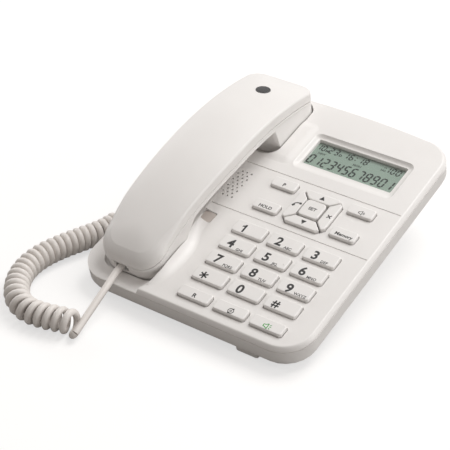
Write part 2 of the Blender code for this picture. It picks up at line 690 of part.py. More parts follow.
def seam_cutter():
    """Two thin engraved lines across the deck."""
    bm = bmesh.new()
    left = LANE_X + SEAM_LEFT_MARGIN
    right = RIGHT - SEAM_RIGHT_MARGIN
    line = rounded_rect(right - left, SEAM_GROOVE_WIDTH, 0.2 * SEAM_GROOVE_WIDTH, 1)
    for y in (UPPER_SEAM_Y, LOWER_SEAM_Y):
        prism(bm, line, -SEAM_GROOVE_DEPTH, CUT_BELOW, (0.5 * (left + right), y))
    return add("seam_lines", mesh_from(bm, "seam_lines"), None, CUTTERS)


def line_jack_y():
    """Deck y of the outer face of the line jack, inside the back skirt."""
    return back_edge(LINE_JACK_OFFSET, SHELL_WALL + FIT_GAP) - 0.5 * FIT_GAP


def line_jack_z():
    """Deck z of the middle of the line socket."""
    return -SHELL_WALL - 3 * FIT_GAP - JACK_WALL - 0.5 * LINE_SOCKET_HEIGHT


def skirt_openings():
    """The openings for the handset cord's plug, on the left, and for the line plug, at the back."""
    bm = bmesh.new()
    size_y = PLUG_WIDTH + 2 * FIT_GAP
    half_z = 0.5 * PLUG_HEIGHT + FIT_GAP
    through = 3.5 * SHELL_WALL
    prism(bm, rounded_rect(through, size_y, SOCKET_CORNER, 1), CORD_JACK_Z - half_z, CORD_JACK_Z + half_z,
          (LEFT, CORD_JACK_POSITION))
    z = line_jack_z()
    through = 3.5 * SHELL_WALL + BACK_BULGE
    prism(bm, rounded_rect(LINE_SOCKET_WIDTH, through, SOCKET_CORNER, 1), z - 0.5 * LINE_SOCKET_HEIGHT,
          z + 0.5 * LINE_SOCKET_HEIGHT, (LINE_JACK_OFFSET, BACK))
    return add("skirt_openings", mesh_from(bm, "skirt_openings"), None, CUTTERS)


def belly_loops(inset):
    """Top loop (deck frame) and bottom loop (world) of the belly, this far inside its outer skin."""
    top = []
    half_x = 0.5 * BASE_WIDTH - BELLY_INSET - inset
    half_y = 0.5 * BASE_LENGTH - BELLY_INSET - inset
    outline = rounded_rect(2 * half_x, 2 * half_y, BELLY_CORNER, 2)
    for x, y in outline:
        top.append((x, y, PLATE_TOP - 0.5 * PLATE_THICKNESS))
    bottom = []
    for x, y in outline:
        base = deck_to_world((x, y, PLATE_TOP))
        drop = base.z - BELLY_CLEARANCE - inset
        bottom.append((x - math.copysign(BELLY_TAPER * drop, x),
                       base.y - (BELLY_TAPER * drop if y > 0 else 0.0),
                       BELLY_CLEARANCE + inset))
    return top, bottom


def belly(name, inset, raised):
    """The tapered belly under the plate, as the hull of its two loops."""
    top, bottom = belly_loops(inset)
    to_deck = DECK_MATRIX.inverted()
    bm = bmesh.new()
    for x, y, z in top:
        bm.verts.new((x, y, z + raised))
    for point in bottom:
        bm.verts.new(to_deck @ Vector(point))
    hull = bmesh.ops.convex_hull(bm, input=bm.verts)
    loose = [v for v in bm.verts if not v.link_faces]
    bmesh.ops.delete(bm, geom=loose, context="VERTS")
    return add(name, mesh_from(bm, name), None, CUTTERS)


def lower_shell():
    """The bottom housing: a plate under the skirt, and a tapered belly that the feet stand on."""
    shell = block("lower_shell", base_outline(PLATE_INSET), PLATE_BOTTOM, PLATE_TOP, SHELL_WHITE)
    cut(shell, belly("belly_outer", 0.0, 0.0), "UNION")
    boss_low = deck_depth_at(FRONT, 2 * FIT_GAP)
    boss = rounded_rect(MIC_BOSS_WIDTH, MIC_BOSS_DEPTH, MIC_BOSS_CORNER, 2)
    boss_place = mic_place()
    cut(shell, block("mic_boss", boss, boss_low, PLATE_BOTTOM + FIT_GAP, None, CUTTERS, boss_place), "UNION")
    cut(shell, belly("belly_room", SHELL_WALL, 2 * PLATE_THICKNESS))
    cut(shell, round_block("mic_pocket", MIC_RADIUS + FIT_GAP, boss_low + MIC_FLOOR, PLATE_TOP + CUT_BELOW,
                           None, boss_place, 12, CUTTERS))
    holes = bmesh.new()
    for place in screw_places():
        cylinder(holes, SCREW_RADIUS + FIT_GAP, PLATE_BOTTOM - CUT_BELOW, PLATE_TOP + CUT_BELOW, place, 8)
    cut(shell, add("plate_screw_holes", mesh_from(holes, "plate_screw_holes"), None, CUTTERS))
    return shell


def mic_place():
    """Deck place of the hands-free microphone, behind the front skirt."""
    return (RIGHT - MIC_BOSS_OFFSET, FRONT + 0.5 * MIC_BOSS_DEPTH + MIC_FRONT_MARGIN)


def microphone():
    """The hands-free microphone in its pocket."""
    low = deck_depth_at(FRONT, 2 * FIT_GAP) + MIC_FLOOR + FIT_GAP
    round_block("handsfree_microphone", MIC_RADIUS, low, low + MIC_HEIGHT, DARK_PLASTIC, mic_place(), 12)


def foot_places():
    """World places of the four feet, near the corners of the belly's flat underside."""
    _, bottom = belly_loops(0.0)
    margin = FOOT_RADIUS + FOOT_EDGE_MARGIN
    front = min(p[1] for p in bottom) + margin
    back = max(p[1] for p in bottom) - margin
    places = []
    for y in (front, back):
        span = [abs(p[0]) for p in bottom if (p[1] < 0) == (y < 0)]
        for side in (-1, 1):
            places.append((side * (min(span) - margin), y))
    return places


def feet():
    """Four rubber discs under the belly."""
    names = ["foot_front_left", "foot_front_right", "foot_back_left", "foot_back_right"]
    for name, place in zip(names, foot_places()):
        bm = bmesh.new()
        cylinder(bm, FOOT_RADIUS, 0.0, BELLY_CLEARANCE - FIT_GAP, sides=20)
        add(name, mesh_from(bm, name), RUBBER, on_deck=False, place=(*place, 0.0))


def screw(name, place, head_top, length):
    """A pan-head screw that stands upright in the deck frame, its head below."""
    head = []
    for side in range(SCREW_SIDES):
        angle = 2.0 * math.pi * side / SCREW_SIDES
        head.append((SCREW_HEAD_RADIUS * math.cos(angle), SCREW_HEAD_RADIUS * math.sin(angle)))
    bm = bmesh.new()
    top = prism(bm, head, head_top - SCREW_HEAD_HEIGHT, head_top)
    bmesh.ops.inset_region(bm, faces=[top], thickness=SCREW_HEAD_RADIUS - SCREW_RADIUS, use_even_offset=True)
    raise_face(bm, top, length)
    return add(name, mesh_from(bm, name), STEEL, place=(*place, 0.0))


def base_screws():
    """The screws that hold the lower shell."""
    for index, place in enumerate(screw_places()):
        screw("base_screw_" + str(index + 1), place, PLATE_BOTTOM - FIT_GAP, SCREW_LENGTH - FIT_GAP)


# ---------------------------------------------------------------- keys
def key(name, outline, centre, flange, height=KEY_HEIGHT):
    """A key cap: a retaining flange under the deck, a straight cap and a chamfered top."""
    bm = bmesh.new()
    if flange:
        top = prism(bm, grown(outline, KEY_FLANGE), -KEY_FOOT, -KEY_FOOT + KEY_FLANGE_THICKNESS)
        bmesh.ops.inset_region(bm, faces=[top], thickness=KEY_FLANGE, use_even_offset=True)
        top = raise_face(bm, top, KEY_FOOT - KEY_FLANGE_THICKNESS + height - KEY_CHAMFER)
    else:
        top = prism(bm, outline, -KEY_FOOT, height - KEY_CHAMFER)
    step_up(bm, top, KEY_CHAMFER, KEY_CHAMFER)
    return add(name, mesh_from(bm, name), KEY_WHITE, place=(*centre, 0.0))


def dpad_outlines():
    """The four keys of the ring: each a quarter of the ring, split along the diagonals."""
    outer = 0.5 * DPAD_SIZE
    face = 0.5 * DPAD_FACE
    inner = 0.5 * DPAD_HOLE
    split = 0.5 * DPAD_SPLIT * math.sqrt(2.0)
    quarter = [(-face, outer), (-inner + split, inner), (inner - split, inner), (face, outer)]
    down = [(x, -y) for x, y in quarter]
    side = [(outer, face - split), (inner, inner - split - split), (inner, -inner + split + split),
            (outer, -face + split)]
    left = [(-x, y) for x, y in side]
    return {"key_up": quarter[::-1], "key_down": down, "key_right": side[::-1], "key_left": left}


def keys():
    """Every key, each on its own."""
    for outline, centre, name in key_plan():
        key(name, outline, centre, True)
    for name, outline in dpad_outlines().items():
        key(name, outline, (DPAD_X, DPAD_Y), False)
    key("key_set", rounded_rect(SET_KEY_SIZE, SET_KEY_SIZE, SET_KEY_CORNER, 2), (DPAD_X, DPAD_Y), False,
        KEY_HEIGHT + SET_KEY_RISE)


# ---------------------------------------------------------------- inside the base
def boards():
    """The rubber membrane under the keys, the keypad board and the main board."""
    left, right, front, back = keypad_board_box()
    depth = 2 * (POST_RADIUS + 2 * FIT_GAP)
    mat_front = front + depth
    mat_back = back - depth
    mat = rounded_rect(right - left, mat_back - mat_front, BOARD_CORNER, 1)
    block("keypad_membrane", mat, MEMBRANE_TOP - MEMBRANE_THICKNESS, MEMBRANE_TOP, MEMBRANE,
          centre=(0.5 * (left + right), 0.5 * (mat_front + mat_back)))
    for name, box in (("keypad_board", keypad_board_box()), ("main_board", main_board_box())):
        left, right, front, back = box
        block(name, rounded_rect(right - left, back - front, BOARD_CORNER, 1), BOARD_TOP - BOARD_THICKNESS,
              BOARD_TOP, BOARD_GREEN, centre=(0.5 * (left + right), 0.5 * (front + back)))


def display():
    """The clear window, the display panel under it and the frame that seats the panel."""
    place = (DISPLAY_X, DISPLAY_Y)
    window = rounded_rect(DISPLAY_WIDTH - 2 * FIT_GAP, DISPLAY_DEPTH - 2 * FIT_GAP, SMALL_CORNER, 1)
    block("lcd_window", window, WINDOW_BOTTOM, WINDOW_TOP, CLEAR, centre=place)
    width = DISPLAY_WIDTH + 2 * PANEL_BORDER
    depth = DISPLAY_DEPTH + 2 * PANEL_BORDER
    block("lcd_panel", rounded_rect(width, depth, SMALL_CORNER, 1), PANEL_BOTTOM, PANEL_TOP, DISPLAY_GREEN,
          centre=place)
    grow = 2 * (FRAME_WALL + FIT_GAP)
    frame = block("lcd_frame", rounded_rect(width + grow, depth + grow, BOARD_CORNER, 1), BOARD_TOP + FIT_GAP,
                  PANEL_TOP, DARK_PLASTIC, centre=place)
    bay = rounded_rect(width + 2 * FIT_GAP, depth + 2 * FIT_GAP, SMALL_CORNER, 1)
    cut(frame, block("lcd_bay", bay, BOARD_TOP - CUT_BELOW, PANEL_TOP + CUT_BELOW, None, CUTTERS, place))


def lamp():
    """The message lamp's flat window."""
    size = LAMP_SIZE - 2 * FIT_GAP
    block("message_lamp_window", rounded_rect(size, size, SMALL_CORNER, 1), -LAMP_DROP - LAMP_THICKNESS,
          -LAMP_DROP, LAMP_PINK, centre=(LAMP_X, LAMP_Y))


def loudspeaker():
    """The loudspeaker under the grille: a turned basket with its magnet."""
    top = -LANE_DROP - SHELL_WALL - FIT_GAP
    magnet = 0.5 * SPEAKER_RADIUS
    low = top - SPEAKER_DEPTH
    profile = [(0.0, top - SPEAKER_CONE_DEPTH), (SPEAKER_RADIUS, top), (SPEAKER_RADIUS, top - SPEAKER_RIM),
               (magnet, top - SPEAKER_BASKET_DEPTH), (magnet, low), (0.0, low)]
    bm = bmesh.new()
    verts = [bm.verts.new((x, 0.0, z)) for x, z in profile]
    for a, b in zip(verts, verts[1:]):
        bm.edges.new((a, b))
    mesh = bpy.data.meshes.new("loudspeaker")
    bm.to_mesh(mesh)
    bm.free()
    x = keypad_board_box()[0] - SPEAKER_BOARD_GAP - SPEAKER_RADIUS
    place = (x, LOWER_SEAM_Y + GRILLE_SEAM_GAP + 0.5 * (GRILLE_ROWS - 1) * GRILLE_PITCH_Y, 0.0)
    item = add("loudspeaker", mesh, DARK_PLASTIC, place=place)
    turn = item.modifiers.new("turn", "SCREW")
    turn.axis = "Z"
    turn.steps = 24
    turn.render_steps = 24
    turn.use_merge_vertices = True
    turn.merge_threshold = 0.001 * SPEAKER_RADIUS
    turn.use_normal_calculate = True


def hook():
    """The hook switch under the earpiece well, and the plunger that the earpiece holds down."""
    opening = rounded_rect(PLUNGER_WIDTH + 2 * FIT_GAP, PLUNGER_DEPTH + 2 * FIT_GAP, BOARD_CORNER, 1)
    place = (HANDSET_X, HOOK_Y)
    top = EAR_FLOOR - SHELL_WALL - FIT_GAP
    body = rounded_rect(PLUNGER_WIDTH + 2 * SWITCH_WALL, PLUNGER_DEPTH + 2 * SWITCH_WALL, BOARD_CORNER, 1)
    switch = block("hook_switch", body, top - SWITCH_HEIGHT, top, DARK_PLASTIC, centre=place)
    cut(switch, block("switch_slot", opening, top - SWITCH_HEIGHT + SWITCH_FLOOR, top + CUT_BELOW, None,
                      CUTTERS, place))
    shaft = rounded_rect(PLUNGER_WIDTH, PLUNGER_DEPTH, BOARD_CORNER, 1)
    high = EAR_FLOOR - FIT_GAP
    block("hook_plunger", shaft, high - PLUNGER_LENGTH, high, SHELL_WHITE, centre=place)


def jacks():
    """The line jack at the back and the handset cord's jack on the left."""
    y = line_jack_y()
    z = line_jack_z()
    width = LINE_SOCKET_WIDTH + 2 * LINE_JACK_WALL
    height = 0.5 * LINE_SOCKET_HEIGHT + JACK_WALL
    depth = LINE_SOCKET_DEPTH + LINE_JACK_WALL
    shape = rounded_rect(width, depth, PLUG_CORNER, 1)
    centre = (LINE_JACK_OFFSET, y - 0.5 * depth)
    body = block("line_jack", shape, z - height, z + height, DARK_PLASTIC, centre=centre)
    hole = rounded_rect(LINE_SOCKET_WIDTH, LINE_SOCKET_DEPTH + 2 * CUT_BELOW, SOCKET_CORNER, 1)
    cut(body, block("line_socket", hole, z - 0.5 * LINE_SOCKET_HEIGHT, z + 0.5 * LINE_SOCKET_HEIGHT, None,
                    CUTTERS, (LINE_JACK_OFFSET, y - 0.5 * LINE_SOCKET_DEPTH + CUT_BELOW)))

    room = FIT_GAP + 0.5 * PLUG_HEIGHT
    length = PLUG_LENGTH - PLUG_PROUD - SHELL_WALL
    start = LEFT + SHELL_WALL + FIT_GAP
    shape = rounded_rect(length + JACK_END_WALL, PLUG_WIDTH + 2 * (FIT_GAP + JACK_WALL), PLUG_CORNER, 1)
    centre = (start + 0.5 * (length + JACK_END_WALL), CORD_JACK_POSITION)
    body = block("handset_cord_jack", shape, CORD_JACK_Z - room - JACK_FLOOR, CORD_JACK_TOP, DARK_PLASTIC,
                 centre=centre)
    hole = rounded_rect(length + CUT_BELOW, PLUG_WIDTH + 2 * FIT_GAP, SOCKET_CORNER, 1)
    cut(body, block("cord_socket", hole, CORD_JACK_Z - room, CORD_JACK_Z + room, None, CUTTERS,
                    (start + 0.5 * (length - CUT_BELOW), CORD_JACK_POSITION)))


# ---------------------------------------------------------------- handset
def shoulder(y):
    """Height of the handset's shoulder above the deck: one long arc."""
    run = y - HANDSET_ARC_CENTRE
    return HANDSET_RISE - HANDSET_ARC_RADIUS + math.sqrt(HANDSET_ARC_RADIUS ** 2 - run ** 2)


def smooth(value):
    """Smooth step from 0 to 1."""
    value = min(max(value, 0.0), 1.0)
    return value * value * (3.0 - 2.0 * value)


def half_width(y):
    """Half width of the handset, which narrows a little to the mouthpiece."""
    return 0.5 * HANDSET_WIDTH - HANDSET_FRONT_TAPER * smooth((0.02 - y) / 0.09)


def mouth_share(x, y):
    """1 over the mouthpiece, 0 over the handle."""
    reach = y + BLOCK_BOW * (x / half_width(y)) ** 2
    return 1.0 - smooth((reach - MOUTH_BACK + BLOCK_SLOPE) / BLOCK_SLOPE)


def ear_share(x, y):
    """1 over the earpiece, 0 over the handle."""
    reach = y - BLOCK_BOW * (x / half_width(y)) ** 2
    return smooth((reach - EAR_FRONT) / BLOCK_SLOPE)


def seam(y):
    """Height of the seam between the handset's two shells."""
    return shoulder(y) - SEAM_DROP


def underside(x, y, wall=0.0):
    """Lowest surface of the handset; with a wall, the floor of the room inside it."""
    handle = shoulder(y) - HANDLE_DEPTH
    level = handle + mouth_share(x, y + wall) * (MOUTH_FLOOR + FIT_GAP - handle)
    level += ear_share(x, y - wall) * (EAR_FLOOR + FIT_GAP - handle)
    return level + wall


def block_inset(x, y):
    """How far the inner shell's sides stand inside the outer shell's."""
    mouth = mouth_share(x, y) * (MOUTHPIECE_INSET - LIP_INSET)
    return LIP_INSET + mouth + ear_share(x, y) * (EARPIECE_INSET - LIP_INSET)


def stations():
    """Where the handset has a cross line, closer together on the slopes of its two blocks."""
    slope = BLOCK_SLOPE + BLOCK_BOW
    stops = [HANDSET_FRONT + HANDSET_FRONT_CORNER, MOUTH_BACK - slope, MOUTH_BACK, EAR_FRONT,
             EAR_FRONT + slope, HANDSET_BACK - HANDSET_BACK_CORNER]
    places = []
    for start, end, count in zip(stops, stops[1:], [2, 7, 6, 7, 3]):
        places += [start + (end - start) * step / count for step in range(count)]
    return places[1:]


def plan_ring():
    """Right half of the handset's outline seen from above, from front middle to back middle."""
    points = []
    for end, way, turns in ((HANDSET_FRONT, 1.0, range(5)), (HANDSET_BACK, -1.0, range(4, -1, -1))):
        radius = HANDSET_FRONT_CORNER if way > 0.0 else HANDSET_BACK_CORNER
        flat = half_width(end) - radius
        arc = []
        for step in turns:
            angle = math.radians(90.0 * step / 4)
            arc.append((flat + radius * math.sin(angle), end + way * radius * (1.0 - math.cos(angle))))
        middle = [(0.0, end), (0.55 * flat, end)]
        if way > 0.0:
            points += middle + arc
            points += [(half_width(y), y) for y in stations()]
        else:
            points += arc + middle[::-1]
    return points


PLAN = plan_ring()


def shrunk(inset_at):
    """The outline drawn in towards the handset's middle line by an inset that may vary."""
    points = []
    for x, y in PLAN:
        reach = half_width(y)
        middle = min(max(y, HANDSET_FRONT + reach), HANDSET_BACK - reach)
        keep = 1.0 - min(inset_at(x, y) / reach, 1.0)
        points.append((keep * x, middle + keep * (y - middle)))
    return points


def handset_body(name, rows, look=None, collection=None):
    """A closed solid from rows of points on its right half, each row from front to back."""
    bm = bmesh.new()
    lines = [[bm.verts.new(point) for point in row] for row in rows]
    for low, high in zip(lines, lines[1:]):
        for index in range(len(low) - 1):
            bm.faces.new((low[index], low[index + 1], high[index + 1], high[index]))
    bmesh.ops.mirror(bm, geom=bm.verts[:] + bm.edges[:] + bm.faces[:], axis="X", merge_dist=0.00001)
    bmesh.ops.remove_doubles(bm, verts=bm.verts, dist=0.00002)
    return add(name, mesh_from(bm, name), look, collection, place=(HANDSET_X, 0.0, 0.0))


def end_share(y):
    """1 at the mouthpiece's end, where the top edge is drawn in; 0 along the handle."""
    return smooth((HANDSET_END_START - y) / HANDSET_END_RUN)


def edge_inset(y):
    """How far the edge of the handset's top lies inside its outline."""
    return HANDSET_EDGE_INSET + end_share(y) * (HANDSET_END_INSET - HANDSET_EDGE_INSET)


def edge_drop(y):
    """Height of the curved side below the edge of the top."""
    return HANDSET_EDGE_DROP + end_share(y) * (HANDSET_END_DROP - HANDSET_EDGE_DROP)


def outer_rows(wall, low):
    """The outer shell's solid: flat below, straight sides that curve in to a crisp edge, crowned top."""
    middle = shrunk(lambda x, y: 1.0)
    side = shrunk(lambda x, y: wall)
    rows = [[(x, y, seam(y) + low) for x, y in middle], [(x, y, seam(y) + low) for x, y in side]]
    for step in range(4):
        turn = HANDSET_EDGE_TURN * step / 3
        out = (1.0 - math.cos(turn)) / (1.0 - math.cos(HANDSET_EDGE_TURN))
        below = 1.0 - math.sin(turn) / math.sin(HANDSET_EDGE_TURN)
        ring = shrunk(lambda x, y, k=out: wall + k * edge_inset(y))
        rows.append([(x, y, shoulder(y) - wall - below * edge_drop(y)) for x, y in ring])
    for share in (0.66, 0.33, 0.0):
        ring = shrunk(lambda x, y, k=share: half_width(y) - k * (half_width(y) - wall - edge_inset(y)))
        top = HANDSET_CROWN * (1.0 - share * share) - wall
        rows.append([(x, y, shoulder(y) + top) for x, y in ring])
    return rows


def inner_rows(wall, high):
    """The inner shell's solid: flat above, a lip at the seam, sides and a rounded underside."""
    middle = shrunk(lambda x, y: 1.0)
    lip = shrunk(lambda x, y: LIP_INSET if wall == 0.0 else block_inset(x, y) + wall)
    rows = [[(x, y, seam(y) + high) for x, y in middle], [(x, y, seam(y) + high) for x, y in lip]]
    rows.append([(x, y, seam(y) - SHELL_LIP) for x, y in lip])
    radius = BLOCK_ROUNDING - 0.7 * wall
    side = shrunk(lambda x, y: block_inset(x, y) + wall)
    if wall == 0.0:
        rows.append([(x, y, seam(y) - SHELL_LIP - 0.0004) for x, y in side])
    for angle in (0.0, 30.0, 60.0, 90.0):
        turn = math.radians(angle)
        ring = shrunk(lambda x, y, t=turn: block_inset(x, y) + wall + radius * (1.0 - math.cos(t)))
        lift = radius * (1.0 - math.sin(turn))
        rows.append([(x, y, underside(x, y, wall) + lift) for x, y in ring])
    for share in (0.7, 0.4, 0.0):
        ring = shrunk(lambda x, y, k=share: half_width(y) - k * (half_width(y) - 0.006))
        rows.append([(x, y, underside(x, y, wall)) for x, y in ring])
    return rows


def handset_screw_place():
    """The screw in the handle's underside, in the middle, behind the mouthpiece."""
    return (HANDSET_X, MOUTH_BACK + HANDSET_SCREW_GAP)


def handset():
    """Both handset shells, with the socket, the screw's boss and the parts inside."""
    outer = handset_body("handset_outer_shell", outer_rows(0.0, FIT_GAP), SHELL_WHITE)
    cut(outer, handset_body("outer_room", outer_rows(HANDSET_WALL, -HANDSET_WALL), None, CUTTERS))
    inner = handset_body("handset_inner_shell", inner_rows(0.0, 0.0), SHELL_WHITE)
    cut(inner, handset_body("inner_room", inner_rows(HANDSET_WALL, HANDSET_WALL), None, CUTTERS))

    x, y = handset_screw_place()
    low = underside(0.0, y) + 1.5 * HANDSET_WALL
    high = shoulder(y) + HANDSET_CROWN - 0.5 * HANDSET_WALL
    boss = round_block("handset_boss", HANDSET_BOSS_RADIUS, low, high, None, (x, y), 12, CUTTERS)
    cut(outer, boss, "UNION")
    hole_top = low + HANDSET_HOLE_DEPTH
    hole = SCREW_RADIUS + FIT_GAP
    cut(outer, round_block("boss_hole", hole, low - CUT_BELOW, hole_top, None, (x, y), 8, CUTTERS))
    cut(inner, round_block("inner_hole", hole, low - 3 * HANDSET_WALL, low + CUT_BELOW, None, (x, y), 8,
                           CUTTERS))

    head_top = underside(0.0, y) - 3 * FIT_GAP
    screw("handset_screw", (x, y), head_top, hole_top - head_top - FIT_GAP)

    socket = rounded_rect(PLUG_WIDTH + 2 * FIT_GAP, SOCKET_CUT_LENGTH, SOCKET_CORNER, 1)
    half = 0.5 * PLUG_HEIGHT + FIT_GAP
    z = HANDSET_SOCKET_HEIGHT
    cut(inner, block("handset_socket", socket, z - half, z + half, None, CUTTERS, (SOCKET_X, HANDSET_FRONT)))
    jack_front = HANDSET_FRONT + MOUTHPIECE_INSET + HANDSET_WALL + HANDSET_JACK_GAP
    length = HANDSET_JACK_LENGTH
    shape = rounded_rect(PLUG_WIDTH + 2 * (FIT_GAP + JACK_WALL), length, PLUG_CORNER, 1)
    body = block("handset_jack", shape, z - half - JACK_FLOOR, z + half + JACK_WALL, DARK_PLASTIC,
                 centre=(SOCKET_X, jack_front + 0.5 * length))
    hole = rounded_rect(PLUG_WIDTH + 2 * FIT_GAP, length, SOCKET_CORNER, 1)
    cut(body, block("jack_bay", hole, z - half, z + half, None, CUTTERS,
                    (SOCKET_X, jack_front + 0.5 * length - JACK_END_WALL)))

    bottom = EAR_FLOOR + FIT_GAP + HANDSET_WALL + FIT_GAP
    round_block("receiver_capsule", RECEIVER_RADIUS, bottom, bottom + RECEIVER_HEIGHT, DARK_PLASTIC,
                (HANDSET_X, EAR_Y), 24)
    bottom = MOUTH_FLOOR + FIT_GAP + HANDSET_WALL + FIT_GAP
    round_block("microphone_capsule", CAPSULE_RADIUS, bottom, bottom + CAPSULE_HEIGHT, DARK_PLASTIC,
                (HANDSET_X + MICROPHONE_OFFSET, HANDSET_FRONT + 0.5 * MOUTHPIECE_LENGTH), 16)
    bottom = shoulder(HANDSET_ARC_CENTRE) - HANDLE_DEPTH + HANDSET_WALL + FIT_GAP
    block("handset_weight", rounded_rect(WEIGHT_WIDTH, WEIGHT_LENGTH, 0.002, 1), bottom,
          bottom + WEIGHT_HEIGHT, STEEL, centre=(HANDSET_X, HANDSET_ARC_CENTRE))
    badge()


def badge():
    """A plain round inlay that lies on the outer shell, near its upper end."""
    y = HANDSET_BACK - BADGE_END_MARGIN
    slope = math.atan2(-(y - HANDSET_ARC_CENTRE), HANDSET_ARC_RADIUS)
    bm = bmesh.new()
    cylinder(bm, BADGE_RADIUS, FIT_GAP, FIT_GAP + BADGE_THICKNESS, sides=24)
    item = add("handset_badge", mesh_from(bm, "handset_badge"), BADGE_GREY,
               place=(HANDSET_X, y, shoulder(y) + HANDSET_CROWN))
    item.rotation_euler = (slope, 0.0, 0.0)


# ---------------------------------------------------------------- plugs and cord
def catmull(points, steps):
    """A smooth line through points, with this many steps between each pair."""
    line = []
    count = len(points)
    for index in range(count - 1):
        p0 = points[max(index - 1, 0)]
        p1 = points[index]
        p2 = points[index + 1]
        p3 = points[min(index + 2, count - 1)]
        for step in range(steps):
            t = step / steps
            line.append(0.5 * ((2 * p1) + (p2 - p0) * t + (2 * p0 - 5 * p1 + 4 * p2 - p3) * t * t
                               + (3 * p1 - p0 - 3 * p2 + p3) * t ** 3))
    line.append(points[-1])
    return line


def tube(name, points, look):
    """A round tube along points, with closed ends."""
    curve = bpy.data.curves.new(name, "CURVE")
    curve.dimensions = "3D"
    curve.bevel_depth = 0.5 * CORD_DIAMETER
    curve.bevel_resolution = 1
    curve.use_fill_caps = True
    curve.materials.append(look)
    spline = curve.splines.new("POLY")
    spline.points.add(len(points) - 1)
    for slot, point in zip(spline.points, points):
        slot.co = (*point, 1.0)
    item = bpy.data.objects.new(name, curve)
    PARTS.objects.link(item)
    return item


def coil_axis():
    """Fine points along the middle of the coil, with their distances along it."""
    line = catmull([Vector((x, y, COIL_HEIGHT)) for x, y in COIL_ROUTE], 16)
    distance = [0.0]
    for a, b in zip(line, line[1:]):
        distance.append(distance[-1] + (b - a).length)
    return line, distance


def axis_at(line, distance, s):
    """Point on the coil's middle line at this distance; straight on past its ends."""
    if s <= 0.0:
        return line[0] + (line[0] - line[1]).normalized() * -s
    if s >= distance[-1]:
        return line[-1] + (line[-1] - line[-2]).normalized() * (s - distance[-1])
    index = 0
    while distance[index + 1] < s:
        index += 1
    share = (s - distance[index]) / (distance[index + 1] - distance[index])
    return line[index].lerp(line[index + 1], share)


def axis_heading(line, distance, s, span=0.006):
    """Direction of the middle line here, evened out over a short span."""
    return (axis_at(line, distance, s + span) - axis_at(line, distance, s - span)).normalized()


def coil_points():
    """The curly cord: a helix about its middle line, from the side next to the base, with curls
    that spread in the bend and open a little near the handset's lead, where it ends at the table."""
    line, distance = coil_axis()
    total = distance[-1]
    radius = 0.5 * (COIL_DIAMETER - CORD_DIAMETER)
    angles = [math.pi]
    places = [0.0]
    while places[-1] < total or math.sin(angles[-1]) > -0.999:
        s = places[-1]
        before = axis_heading(line, distance, s - 0.008)
        after = axis_heading(line, distance, s + 0.008)
        curvature = before.angle(after) / 0.016
        pitch = (CORD_DIAMETER + COIL_WIRE_GAP) / (1.0 - curvature * (radius + 0.1 * CORD_DIAMETER))
        opening = max(0.0, 1.0 - (total - s) / COIL_OPEN_LENGTH)
        pitch *= 1.0 + (COIL_OPEN_FACTOR - 1.0) * min(opening, 1.0)
        places.append(s + pitch / COIL_POINTS_PER_TURN)
        angles.append(angles[-1] + 2.0 * math.pi / COIL_POINTS_PER_TURN)
    up = Vector((0.0, 0.0, 1.0))
    points = []
    for angle, s in zip(angles, places):
        side = axis_heading(line, distance, s).cross(up).normalized()
        points.append(axis_at(line, distance, s) + radius * (math.cos(angle) * side + math.sin(angle) * up))
    tail = Vector((0.0, 0.15, 1.0)).normalized()
    points.insert(0, points[0] + tail * 1.2 * CORD_DIAMETER)
    turns = (angles[-1] - angles[0]) / (2.0 * math.pi)
    return points, turns


def least_gap(points, reach):
    """Least free gap between stretches of the tube more than this far apart along it."""
    distance = [0.0]
    for a, b in zip(points, points[1:]):
        distance.append(distance[-1] + (b - a).length)
    least = 1.0
    for i, a in enumerate(points):
        for j in range(i + 1, len(points) - 1):
            if distance[j] - distance[i] < reach:
                continue
            b = points[j]
            c = points[j + 1]
            t = min(max((a - b).dot(c - b) / (c - b).length_squared, 0.0), 1.0)
            least = min(least, (a - b.lerp(c, t)).length - CORD_DIAMETER)
    return least


